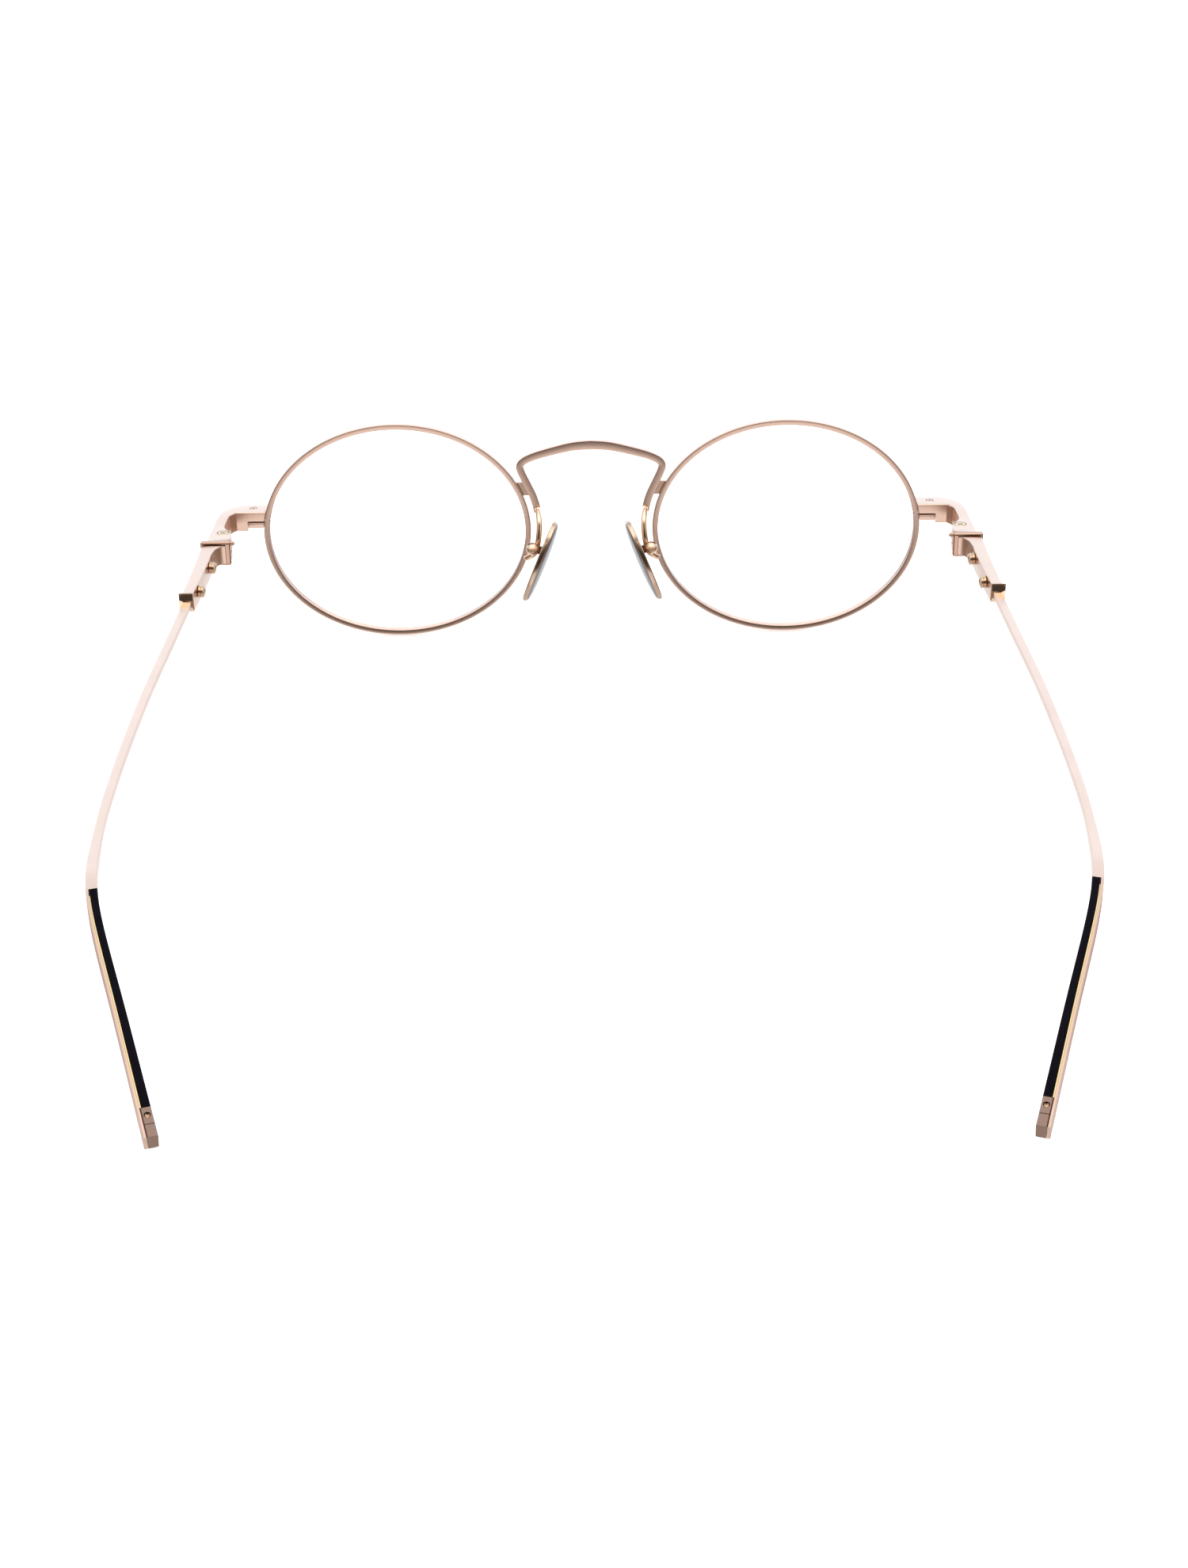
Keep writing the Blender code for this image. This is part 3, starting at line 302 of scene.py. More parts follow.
def show(name, mesh, material, body, node=None):
    """Put a finished mesh in the scene, on its body and in place of its CAD node."""
    mesh.materials.clear()
    mesh.materials.append(MATERIALS[material])
    item = bpy.data.objects.new(name, mesh)
    bpy.context.scene.collection.objects.link(item)
    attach(item, body)
    if node:
        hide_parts(node)
    return item


def show_pair(stem, mesh, material, body, node=True):
    """Show a left-hand mesh and its mirror image. body is 'front', 'temple' or 'pad'."""
    for side, shape in (("left", mesh), ("right", mirrored(mesh))):
        riding = body if body == "front" else body + "_" + side
        show("fine_" + stem + "_" + side, shape, material, riding, stem + "_" + side if node else None)


def loft(rings, closed=False):
    """Skin a row of rings that have the same number of points."""
    bm = bmesh.new()
    loops = [[bm.verts.new(point) for point in ring] for ring in rings]
    following = loops[1:] + loops[:1] if closed else loops[1:]
    for near, far in zip(loops, following):
        for index, vert in enumerate(near):
            after = (index + 1) % len(near)
            bm.faces.new((vert, near[after], far[after], far[index]))
    if not closed:
        bm.faces.new(loops[0])
        bm.faces.new(loops[-1])
    return bm


def box(low, high):
    bm = bmesh.new()
    bmesh.ops.create_cube(bm, size=1.0)
    bmesh.ops.scale(bm, vec=Vector(high) - Vector(low), verts=bm.verts)
    bmesh.ops.translate(bm, vec=(Vector(low) + Vector(high)) / 2.0, verts=bm.verts)
    return bm


def turned(profile, base, axis, segments=48):
    """A turned shape: profile is (reach, height) pairs along the axis from the base."""
    turn = Vector((0.0, 0.0, 1.0)).rotation_difference(Vector(axis)).to_matrix().to_4x4()
    place = Matrix.Translation(base) @ turn
    angles = [math.tau * step / segments for step in range(segments)]
    return loft([[place @ Vector((reach * math.cos(a), reach * math.sin(a), height)) for a in angles]
                 for reach, height in profile])


def rounded(points, radius, steps=3):
    """A closed outline with every corner turned into a short curve."""
    points = [Vector(point) for point in points]
    outline = []
    for index, corner in enumerate(points):
        before = points[index - 1] - corner
        after = points[(index + 1) % len(points)] - corner
        reach = min(radius, before.length * 0.45, after.length * 0.45)
        start = corner + before.normalized() * reach
        end = corner + after.normalized() * reach
        for step in range(steps + 1):
            t = step / steps
            outline.append(start * (1.0 - t) ** 2 + corner * (2.0 * t * (1.0 - t)) + end * t ** 2)
    return outline


def smooth_path(points, steps):
    """Catmull-Rom curve through the points, with its ends kept."""
    points = [Vector(point) for point in points]
    padded = [points[0] * 2.0 - points[1], *points, points[-1] * 2.0 - points[-2]]
    path = []
    for a, b, c, d in zip(padded, padded[1:], padded[2:], padded[3:]):
        for step in range(steps):
            t = step / steps
            path.append(0.5 * (2.0 * b + (c - a) * t + (2.0 * a - 5.0 * b + 4.0 * c - d) * t * t
                               + (3.0 * b - a - 3.0 * c + d) * t ** 3))
    path.append(points[-1])
    return path


def tube(points, radius, steps=6, sides=16):
    """A round wire with slightly rounded ends, kept from twisting along its path."""
    path = smooth_path(points, steps)
    side = Vector((1.0, 0.0, 0.0))
    rings = []
    last = len(path) - 1
    for index, point in enumerate(path):
        along = (path[min(index + 1, last)] - path[max(index - 1, 0)]).normalized()
        side = (side - along * side.dot(along)).normalized()
        other = along.cross(side)
        reach = radius * (0.8 if index in (0, last) else 1.0)
        angles = [math.tau * step / sides for step in range(sides)]
        rings.append([point + side * reach * math.cos(a) + other * reach * math.sin(a) for a in angles])
    return loft(rings)


# ---------- front

def oval_point(angle, grow, behind, scale=1.0):
    """A point of the left lens or rim: grow is counted outward from the visible opening."""
    across = (OPENING_A + grow) * scale * math.cos(angle)
    up = (OPENING_B + grow) * scale * math.sin(angle)
    dish = (across ** 2 + up ** 2) / (2.0 * DISH_RADIUS) - DISH_MID
    return Vector((LENS_PITCH + across, behind + dish, up))


def rim_mesh():
    """Oval rim with a groove for the lens and a split at the end piece."""
    half = RIM_DEPTH / 2.0 - SKIN
    band = RIM_BAND - SKIN
    corners = rounded(((band, half), (band, -half), (0.0, -half), (0.0, half)), RIM_CORNER, RIM_CORNER_STEPS)
    groove = [(0.0, -GROOVE_HALF), (GROOVE_DEPTH, 0.0), (0.0, GROOVE_HALF)]
    split = 3 * (RIM_CORNER_STEPS + 1)
    profile = [*corners[:split], *groove, *corners[split:]]
    half_gap = RIM_SPLIT_GAP / 2.0 / (OPENING_A + RIM_BAND)
    sweep = math.tau - 2.0 * half_gap
    first = RIM_SPLIT_ANGLE + half_gap
    angles = [first + sweep * step / FINE_STEPS for step in range(FINE_STEPS + 1)]
    return solid(loft([[oval_point(a, grow, behind) for grow, behind in profile] for a in angles]), FRONT)


def lens_mesh():
    """Meniscus lens with a bevelled edge that sits in the groove of the rim."""
    face = LENS_HALF_THICKNESS
    shoulder = -2.0 * FIT_GAP
    rows = [(s, 0.0, face) for s in LENS_RING_SHARES]
    rows += [(1.0, shoulder, face), (1.0, shoulder, GROOVE_HALF - FIT_GAP),
             (1.0, GROOVE_DEPTH - 2.0 * FIT_GAP, 0.0),
             (1.0, shoulder, FIT_GAP - GROOVE_HALF), (1.0, shoulder, -face)]
    rows += [(s, 0.0, -face) for s in reversed(LENS_RING_SHARES)]
    angles = [math.tau * step / FINE_STEPS for step in range(FINE_STEPS)]
    return solid(loft([[oval_point(a, grow, behind, s) for a in angles] for s, grow, behind in rows]), FRONT)


def bridge_line():
    """The bridge's centreline from side to side, and its left half."""
    half = smooth_path([(x, 0.0, z) for x, z in BRIDGE_HALF], 8)
    return [Vector((-p.x, 0.0, p.z)) for p in reversed(half[1:])] + half, half


def lug_heights(steps):
    return [SOLDER_LUG_BOTTOM + (SOLDER_LUG_TOP - SOLDER_LUG_BOTTOM) * k / steps for k in range(steps + 1)]


def rim_edge_x(up):
    """Where the rim's outer edge is, on the nose side, at a height above the lens centre."""
    return oval_point(math.pi - math.asin(up / (OPENING_B + RIM_BAND)), RIM_BAND, 0.0).x


def solder_lug(half, mirror):
    """Block from a leg's centreline to the rim, whose face follows the rim's outer edge."""
    leg = [point for point in half if point.z < BRIDGE_SHOULDER_UP]
    heights = lug_heights(SOLDER_LUG_STEPS)
    outline = [(rim_edge_x(up) - FIT_GAP, up) for up in heights]
    for up in (heights[-1], heights[0]):
        outline.append((min(leg, key=lambda point: abs(point.z - up)).x, up))
    sign = -1.0 if mirror else 1.0
    depth = SOLDER_LUG_DEPTH / 2.0
    return loft([[(sign * x, y, z) for x, z in outline] for y in (-depth, depth)])


def bridge_mesh():
    """One flat wire over the nose with a leg on each side and a lug to each rim."""
    line, half = bridge_line()
    shoulder_x = max(point.x for point in line)
    rings = []
    for index, point in enumerate(line):
        along = (line[min(index + 1, len(line) - 1)] - line[max(index - 1, 0)]).normalized()
        side = Vector((-along.z, 0.0, along.x))
        blend = min(abs(point.x) / shoulder_x, 1.0) if point.z > BRIDGE_SHOULDER_UP else 1.0
        width = BRIDGE_CROWN_WIDTH + (BRIDGE_LEG_WIDTH - BRIDGE_CROWN_WIDTH) * blend
        w, d = width / 2.0, BRIDGE_DEPTH / 2.0
        profile = rounded(((-w, -d), (w, -d), (w, d), (-w, d)), BRIDGE_CORNER, 4)
        rings.append([point + side * p.x + Vector((0.0, p.y, 0.0)) for p in profile])
    lugs = [solder_lug(half, mirror) for mirror in (False, True)]
    return solid(loft(rings), FRONT, joins=lugs)


def solder_bead_mesh():
    """The bright line of solder where the lug meets the rim."""
    behind = SOLDER_LUG_DEPTH / 2.0 - SOLDER_BEAD_SINK
    points = [(rim_edge_x(up) - SOLDER_BEAD_INSET, behind, up) for up in lug_heights(SOLDER_BEAD_STEPS)]
    return solid(tube(points, SOLDER_BEAD_RADIUS, 4, 12), FRONT)


def arm_sides():
    """Matching points along the outer and the inner side of the end piece."""
    shoulder = [p.to_2d() for p in smooth_path([(x, y, 0.0) for x, y in ARM_SHOULDER], 4)]
    waist = [p.to_2d() for p in smooth_path([(x, y, 0.0) for x, y in ARM_WAIST], 4)]
    outer = [Vector((ARM_INNER_X, ARM_FRONT_Y)), *shoulder, Vector((ARM_OUTER_X, BLOCK_REAR_Y))]
    inner = [Vector((ARM_INNER_X, ARM_BACK_Y)), *waist, *[Vector(point) for point in BLOCK_CORNER]]
    return resample(outer, ARM_STEPS), resample(inner, ARM_STEPS)


def rim_clearance():
    """Solid oval that trims the end piece and the rim lock to the outer edge of the rim."""
    across = OPENING_A + RIM_BAND + FIT_GAP
    up = OPENING_B + RIM_BAND + FIT_GAP
    angles = [math.tau * step / FINE_STEPS for step in range(FINE_STEPS)]
    outline = [(LENS_PITCH + across * math.cos(a), up * math.sin(a)) for a in angles]
    bm = loft([[(x, y, z) for x, z in outline] for y in (-RIM_CLEAR_DEPTH, RIM_CLEAR_DEPTH)])
    bm.transform(FRONT_LEAN)
    return bm


def resample(points, count):
    """Points at equal steps of length along a flat line."""
    lengths = [0.0]
    for a, b in zip(points, points[1:]):
        lengths.append(lengths[-1] + (b - a).length)
    found = []
    for k in range(count + 1):
        goal = lengths[-1] * k / count
        index = next(i for i in range(1, len(points)) if lengths[i] >= goal - 1e-9)
        share = (goal - lengths[index - 1]) / max(lengths[index] - lengths[index - 1], 1e-9)
        found.append(points[index - 1].lerp(points[index], share))
    return found


def blend_height(y, at_front, at_rear):
    """A height that eases from the rim's end of the end piece to its hinge block."""
    share = min(max((y - ARM_BACK_Y) / (BLOCK_LEVEL_Y - ARM_BACK_Y), 0.0), 1.0)
    return at_front + (at_rear - at_front) * share * share * (3.0 - 2.0 * share)


def cross_recess(centre, reach, depth):
    """Two crossed slots that sink into a screw's head, turned so that they form an X."""
    cuts = []
    for degrees in (45.0, -45.0):
        slot = box((-reach, -RECESS_WIDTH / 2.0, -depth), (reach, RECESS_WIDTH / 2.0, OVERSHOOT))
        slot.transform(Matrix.Translation(centre) @ Matrix.Rotation(math.radians(degrees), 4, "Z"))
        cuts.append(slot)
    return cuts


def round_cut(radius, centre, low, high, segments=40):
    return turned(((radius, low), (radius, high)), (centre[0], centre[1], 0.0), (0.0, 0.0, 1.0), segments)


def screw_hole(centre, bottom, top, radius, head, head_height):
    """The two cuts that let a screw's shank and its sunk head in from above."""
    return (round_cut(radius + FIT_GAP, centre, bottom - OVERSHOOT, top + OVERSHOOT),
            round_cut(head + FIT_GAP, centre, top - head_height - FIT_GAP, top + OVERSHOOT))


def endpiece_mesh():
    """End piece from the rim round to the hinge, slit over the rim lock and slotted for the tongue."""
    bottom = ARM_TOP - ARM_HEIGHT
    rings = []
    for out, inn in zip(*arm_sides()):
        ring = []
        for side, upper in ((inn, False), (out, False), (out, True), (inn, True)):
            at_rim, at_hinge = (ARM_TOP, BLOCK_TOP) if upper else (bottom, BLOCK_BOTTOM)
            ring.append(Vector((side.x, side.y, blend_height(side.y, at_rim, at_hinge))))
        rings.append(rounded(ring, ARM_CORNER, 3))
    slit = box((ARM_INNER_X - OVERSHOOT, ARM_FRONT_Y - OVERSHOOT, bottom - OVERSHOOT),
               (LOCK_OUTER_X + 2.0 * FIT_GAP, ARM_BACK_Y + OVERSHOOT, LOCK_SLIT_TOP))
    reach = KNUCKLE_RADIUS + 2.0 * FIT_GAP
    half = KNUCKLE_HALF_HEIGHT + FIT_GAP
    slot = box((BLOCK_INNER_X - 1.5 * OVERSHOOT, HINGE[1] - reach, HINGE[2] - half),
               (HINGE[0] + reach, BLOCK_REAR_Y + OVERSHOOT, HINGE[2] + half))
    hinge_hole = screw_hole(HINGE, BLOCK_BOTTOM, BLOCK_TOP, HINGE_PIN_RADIUS, HINGE_HEAD_RADIUS,
                            HINGE_HEAD_HEIGHT)
    lock_hole = screw_hole(LOCK_SCREW, bottom, ARM_TOP, LOCK_SCREW_RADIUS, LOCK_HEAD_RADIUS, LOCK_HEAD_HEIGHT)
    return solid(loft(rings), cuts=[slit, rim_clearance(), slot, *hinge_hole, *lock_hole])


def rim_lock_mesh():
    """Block in the slit that the rim screw pulls up to close the rim."""
    hole = round_cut(LOCK_SCREW_RADIUS + FIT_GAP, LOCK_SCREW, LOCK_BOTTOM - OVERSHOOT, LOCK_TOP + OVERSHOOT)
    block = box((ARM_INNER_X, ARM_FRONT_Y, LOCK_BOTTOM), (LOCK_OUTER_X, ARM_BACK_Y, LOCK_TOP))
    return solid(block, GROUND, LOCK_CORNER, 3, cuts=[rim_clearance(), hole])


def screw_mesh(centre, top, length, head, head_height, radius):
    """Upright screw with a sunk head and a cross recess."""
    bevel = SCREW_CHAMFER
    profile = ((head - bevel, 0.0), (head, -bevel), (head, -head_height), (radius, -head_height),
               (radius, bevel - length), (radius - bevel, -length))
    place = Vector((centre[0], centre[1], top))
    cuts = cross_recess(place, head * RECESS_REACH, head_height * RECESS_DEPTH)
    return solid(turned(profile, place, (0.0, 0.0, 1.0)), cuts=cuts)


# ---------- nose pads

def pad_lean():
    lean = Matrix.Rotation(-PAD_FRONTAL_ANGLE, 4, "Y") @ Matrix.Rotation(-PAD_SPLAY_ANGLE, 4, "Z")
    return Matrix.Translation(Vector(PAD_CENTRE) - Vector(PAD_BOX)) @ lean


def leaf(rows, segments=96):
    angles = [math.tau * step / segments for step in range(segments)]
    bm = loft([[(-rise, PAD_HALF_WIDTH * s * math.cos(a), PAD_HALF_LENGTH * s * math.sin(a)) for a in angles]
               for s, rise in rows])
    bm.transform(pad_lean())
    return bm


def pad_pin_hole(reach):
    radius = PAD_PIN_RADIUS + FIT_GAP
    return turned(((radius, -reach), (radius, reach)), (0.0, 0.0, 0.0), (0.0, 1.0, 0.0), 32)


def pad_back_mesh():
    """Gilt back of the pad, with its rounded edge and the bored lug."""
    half = PAD_LUG_THICKNESS / 2.0
    arc = [math.pi * (0.5 - step / PAD_LUG_ARC_STEPS) for step in range(PAD_LUG_ARC_STEPS + 1)]
    outline = [(PAD_LUG_RADIUS * math.cos(a), PAD_LUG_RADIUS * math.sin(a)) for a in arc]
    outline += [(-PAD_LUG_REACH, height) for height in PAD_LUG_FOOT]
    lug = loft([[(x, y, z) for x, z in outline] for y in (-half, half)])
    return solid(leaf(PAD_BACK_ROWS), PAD, joins=[lug], cuts=[pad_pin_hole(OVERSHOOT)])


def pad_face_mesh():
    """Domed silver-grey leaf that rests on the nose."""
    rows = [(PAD_FACE_SHARE, PAD_EDGE + PAD_FACE_LIFT)]
    for step in range(PAD_FACE_STEPS + 1):
        turn = step / PAD_FACE_STEPS * PAD_FACE_TURN
        rise = PAD_EDGE + 3.0 * PAD_FACE_LIFT + PAD_FACE_DOME * math.sin(turn)
        rows.append((PAD_FACE_SHARE * math.cos(turn), rise))
    return solid(leaf(rows), PAD)


def pad_box_mesh():
    """Ball at the end of the pad arm, slotted for the pad's lug and bored for its pin."""
    bm = bmesh.new()
    bmesh.ops.create_uvsphere(bm, u_segments=48, v_segments=32, radius=PAD_BOX_RADIUS)
    half = PAD_LUG_THICKNESS / 2.0 + FIT_GAP
    reach = 2.0 * OVERSHOOT
    slot = box((-reach, -half, -reach), (PAD_LUG_RADIUS + FIT_GAP, half, reach))
    return solid(bm, PAD, cuts=[slot, pad_pin_hole(reach)])


def pad_screw_mesh():
    """Pin through the box and the lug, on which the pad rocks."""
    rear = PAD_BOX_RADIUS + FIT_GAP
    top = rear + PAD_PIN_HEAD_HEIGHT
    profile = ((PAD_PIN_RADIUS, -PAD_BOX_RADIUS), (PAD_PIN_RADIUS, rear), (PAD_PIN_HEAD_RADIUS, rear),
               (PAD_PIN_HEAD_RADIUS, top - SCREW_CHAMFER), (PAD_PIN_HEAD_RADIUS - SCREW_CHAMFER, top))
    slot = box((-OVERSHOOT, top - PAD_PIN_SLOT_DEPTH, -PAD_PIN_SLOT / 2.0),
               (OVERSHOOT, rear + OVERSHOOT, PAD_PIN_SLOT / 2.0))
    return solid(turned(profile, (0.0, 0.0, 0.0), (0.0, 1.0, 0.0), 32), PAD, cuts=[slot])


def pad_arm_mesh():
    return solid(tube(PAD_WIRE, PAD_WIRE_RADIUS, 8, 24), FRONT)


# ---------- temples

def plate_outer_x(y):
    """Outer side of the plate, which flares and bows outward toward the rear."""
    behind = y - COLLAR_LOW[1]
    return PLATE_FRONT_HIGH[0] + PLATE_FLARE * behind + PLATE_BOW * behind ** 2


def plate_middle_z(y):
    """Height of the plate's middle, which drops toward the rear."""
    return PLATE_FRONT_LOW[1] + PLATE_HALF_HEIGHT - PLATE_DROP * (y - COLLAR_LOW[1])


def plate_inner_x(y):
    """Inner side of the plate: a concave web that eases into the flat."""
    if y >= WEB_REAR_Y:
        share = (y - WEB_REAR_Y) / (PLATE_REAR_Y - WEB_REAR_Y)
        return plate_outer_x(y) - PLATE_WIDTH - (PLATE_REAR_WIDTH - PLATE_WIDTH) * share
    rise = min((WEB_REAR_Y - y) / WEB_LENGTH, 1.0)
    reach = plate_inner_x(WEB_REAR_Y) - PLATE_FRONT_LOW[0]
    return PLATE_FRONT_LOW[0] + reach * math.sqrt(max(1.0 - rise * rise, 0.0))


def hinge_tongue():
    """Flat tongue from the front of the plate to the round knuckle about the hinge screw."""
    front = COLLAR_LOW[1]
    root_x = PLATE_FRONT_LOW[0] + FIT_GAP
    hinge_x, hinge_y, hinge_z = HINGE
    r = KNUCKLE_RADIUS
    outline = [(hinge_x + r, front + TONGUE_ROOT), (root_x, front + TONGUE_ROOT), (root_x, front),
               (hinge_x - r, front - TONGUE_SHOULDER)]
    for step in range(TONGUE_ARC_STEPS + 1):
        angle = math.pi + math.pi * step / TONGUE_ARC_STEPS
        outline.append((hinge_x + r * math.cos(angle), hinge_y + r * math.sin(angle)))
    heights = (hinge_z - KNUCKLE_HALF_HEIGHT, hinge_z + KNUCKLE_HALF_HEIGHT)
    return loft([[(x, y, z) for x, y in outline] for z in heights])


def plate_mesh():
    """Flat plate of the temple with a concave web at its front and the hinge's tongue."""
    front = COLLAR_LOW[1]
    ys = [front, front + TONGUE_ROOT]
    ys += [WEB_REAR_Y - WEB_LENGTH * math.cos(math.pi / 2.0 * k / WEB_STEPS) for k in range(WEB_STEPS + 1)]
    ys += [WEB_REAR_Y + (PLATE_REAR_Y - WEB_REAR_Y) * k / PLATE_STEPS for k in range(1, PLATE_STEPS + 1)]
    half = PLATE_HALF_HEIGHT
    rings = []
    for y in ys:
        low, high, z = plate_inner_x(y), plate_outer_x(y), plate_middle_z(y)
        ring = ((low, y, z - half), (high, y, z - half), (high, y, z + half), (low, y, z + half))
        rings.append(rounded(ring, PLATE_CORNER, 3))
    reach = 2.0 * OVERSHOOT
    bore = round_cut(HINGE_PIN_RADIUS + FIT_GAP, HINGE, HINGE[2] - reach, HINGE[2] + reach)
    return solid(loft(rings), joins=[hinge_tongue()], cuts=[bore])


def collar_mesh():
    """Rounded collar about the front of the plate, with a small nub on its inner side."""
    low_z = PLATE_FRONT_LOW[1] - PLATE_DROP * (COLLAR_HIGH[1] - COLLAR_LOW[1])
    hole = box((PLATE_FRONT_LOW[0] - FIT_GAP, COLLAR_LOW[1] - OVERSHOOT, low_z - FIT_GAP),
               (plate_outer_x(COLLAR_HIGH[1]) + FIT_GAP, COLLAR_HIGH[1] + OVERSHOOT,
                PLATE_FRONT_HIGH[1] + FIT_GAP))
    nub = turned(NUB_PROFILE, NUB_ROOT, (-1.0, 0.0, 0.0), 32)
    return solid(box(COLLAR_LOW, COLLAR_HIGH), GROUND, COLLAR_ROUNDING, 5, cuts=[hole], joins=[nub])


def stud_mesh(place):
    """Stud of two beads with a groove between them and a sunk centre, on the inner face of the plate."""
    y = STUD_Y[place]
    slope = (plate_inner_x(PLATE_REAR_Y) - plate_inner_x(WEB_REAR_Y)) / (PLATE_REAR_Y - WEB_REAR_Y)
    inward = Vector((-1.0, slope, 0.0)).normalized()
    base = Vector((plate_inner_x(y), y, plate_middle_z(y) + STUD_RISE)) + inward * STUD_GAP
    r, h = STUD_RADIUS, STUD_LENGTH
    first_bead = [(r - 0.1, 0.0), (r - 0.02, 0.06), (r, 0.18), (r, 0.26), (r - 0.03, 0.34)]
    waist = [(r - 0.12, 0.4), (r - 0.12, 0.46)]
    second_bead = [(r - 0.03, 0.52), (r, 0.6), (r, h - 0.22), (r - 0.04, h - 0.14), (r - 0.22, h)]
    sunk_centre = [(r * 0.6, h), (r * 0.5, h - 0.12)]
    profile = [*first_bead, *waist, *second_bead, *sunk_centre]
    return solid(turned(profile, base, inward))


def section(point, along, profile):
    """A (across, height) profile set square to the temple's line."""
    level = Vector((along.y, -along.x, 0.0)).normalized()
    up = level.cross(along).normalized()
    return [point + level * across + up * height for across, height in profile]


def temple_line(steps=8):
    """Points along the temple, each with its direction."""
    line = smooth_path(TEMPLE_PATH, steps)
    ahead = line[1:] + line[-1:]
    behind = line[:1] + line[:-1]
    return [(p, (after - before).normalized()) for p, before, after in zip(line, behind, ahead)]


LINE = temple_line()


def line_at(y):
    """Point and direction of the temple at a distance aft."""
    for (near, near_way), (far, far_way) in zip(LINE, LINE[1:]):
        if near.y <= y <= far.y:
            share = (y - near.y) / (far.y - near.y)
            return near.lerp(far, share), near_way.lerp(far_way, share).normalized()
    return LINE[-1]


def tip_half_width(y):
    """Half the width of the bar, which broadens into the tip."""
    if y < SLEEVE_START_Y:
        share = min(max((y - WIDEN_START_Y) / (SLEEVE_START_Y - WIDEN_START_Y), 0.0), 1.0)
        return BAR_HALF_WIDTH + (TIP_HALF_WIDTH_START - BAR_HALF_WIDTH) * share
    share = (y - SLEEVE_START_Y) / (TEMPLE_PATH[-1][1] - SLEEVE_START_Y)
    return TIP_HALF_WIDTH_START + (TIP_HALF_WIDTH_END - TIP_HALF_WIDTH_START) * share


def tip_half_height(y):
    share = min(max((y - WIDEN_START_Y) / (SLEEVE_START_Y - WIDEN_START_Y), 0.0), 1.0)
    return BAR_HALF_HEIGHT + (TIP_HALF_HEIGHT - BAR_HALF_HEIGHT) * share


def frange(start, end, step):
    """Even steps from start to end, as near to step as fits."""
    count = max(int(round((end - start) / step)), 1)
    return [start + (end - start) * k / count for k in range(count + 1)]


def bar_profile(y, low, reed):
    """Section of the bar: a polished strip and, on the outer side, a lowered reeded edge."""
    high, h = tip_half_width(y) - SKIN / 3.0, tip_half_height(y)
    share = min(max((y - REED_START_Y) / REED_FADE, 0.0), 1.0)
    step = high - REED_WIDTH * share
    drop = REED_DROP * share
    outer = high - reed * share
    corner = low + BAR_CORNER_WIDTH
    edge = h - BAR_CORNER_HEIGHT
    return [(low, -edge), (corner, -h), (step, -h), (outer, drop - h),
            (outer, h - drop), (step, h), (corner, h), (low, edge)]


def reed_depth(y):
    """Triangular teeth along the outer edge."""
    return REED_DEPTH * abs((y / REED_PITCH) % 1.0 * 2.0 - 1.0)


def bar_mesh():
    """The bar from the ferrule to the end of the tip, where it is the tip's outer wall."""
    rings = []
    for y in frange(TEMPLE_PATH[0][1], REED_START_Y, 1.0)[:-1]:
        point, along = line_at(y)
        rings.append(section(point, along, bar_profile(y, -tip_half_width(y), 0.0)))
    for y in frange(REED_START_Y, TEMPLE_PATH[-1][1], REED_PITCH / 4.0):
        point, along = line_at(y)
        low = -tip_half_width(y) if y < SLEEVE_START_Y else tip_half_width(y) - SLEEVE_WALL
        rings.append(section(point, along, bar_profile(y, low, reed_depth(y))))
    return solid(loft(rings), smooth=REED_SMOOTH_BELOW)


def sleeve_mesh():
    """The black part of the tip, which lies against the bar's outer wall."""
    rings = []
    for y in frange(SLEEVE_START_Y + 2.0 * FIT_GAP, CAP_START_Y, SLEEVE_STEP):
        point, along = line_at(y)
        half, h = tip_half_width(y), tip_half_height(y)
        low, high = -half, half - SLEEVE_WALL - FIT_GAP
        profile = rounded(((low, -h), (high, -h), (high, h), (low, h)), SLEEVE_CORNER, 5)
        rings.append(section(point, along, profile))
    return solid(loft(rings))


def tip_screw_axis():
    """Top of the tip's screw and the way it faces."""
    y = CAP_START_Y + TIP_SCREW_FROM_CAP
    point, along = line_at(y)
    level = Vector((along.y, -along.x, 0.0)).normalized()
    up = level.cross(along).normalized()
    return point + level * (-SLEEVE_WALL / 2.0) + up * tip_half_height(y), up


def cap_mesh():
    """End cap in two lengths with a fine joint line between them, bored for its screw."""
    start, end = CAP_START_Y + FIT_GAP, TEMPLE_PATH[-1][1]
    joint = CAP_START_Y + CAP_JOINT
    before_joint = frange(start + CAP_FIRST_STEP, joint - CAP_JOINT_DEPTH, CAP_STEP)
    after_joint = frange(joint + CAP_JOINT_DEPTH, end, CAP_STEP)
    rings = []
    for y in (start, *before_joint, joint, *after_joint):
        point, along = line_at(y)
        inset = CAP_JOINT_DEPTH if y == joint else 0.0
        half, h = tip_half_width(y), tip_half_height(y) - inset
        low, high = -half + inset, half - SLEEVE_WALL - FIT_GAP - inset
        profile = rounded(((low, -h), (high, -h), (high, h), (low, h)), CAP_CORNER, 4)
        rings.append(section(point, along, profile))
    top, up = tip_screw_axis()
    radius = TIP_SCREW_RADIUS + FIT_GAP
    hole = turned(((radius, -TIP_SCREW_DEPTH), (radius, OVERSHOOT)), top, up, 32)
    return solid(loft(rings), cuts=[hole])


def painted_highlight_line_mesh():
    """Painted highlight of the polished edge between the bar's outer wall and the black of the tip."""
    angles = [math.tau * step / 16 for step in range(16)]
    rings = []
    for y in frange(HIGHLIGHT_LINE_START_Y, CAP_START_Y, HIGHLIGHT_LINE_STEP):
        point, along = line_at(y)
        share = min((y - HIGHLIGHT_LINE_START_Y) / HIGHLIGHT_LINE_FADE, 1.0)
        reach = HIGHLIGHT_LINE_RADIUS * (HIGHLIGHT_LINE_START_SHARE + (1.0 - HIGHLIGHT_LINE_START_SHARE) * share)
        middle = tip_half_width(y) - SLEEVE_WALL - 0.5 * reach
        height = tip_half_height(y) - reach
        profile = [(middle + reach * math.cos(a), height + reach * math.sin(a)) for a in angles]
        rings.append(section(point, along, profile))
    return solid(loft(rings))


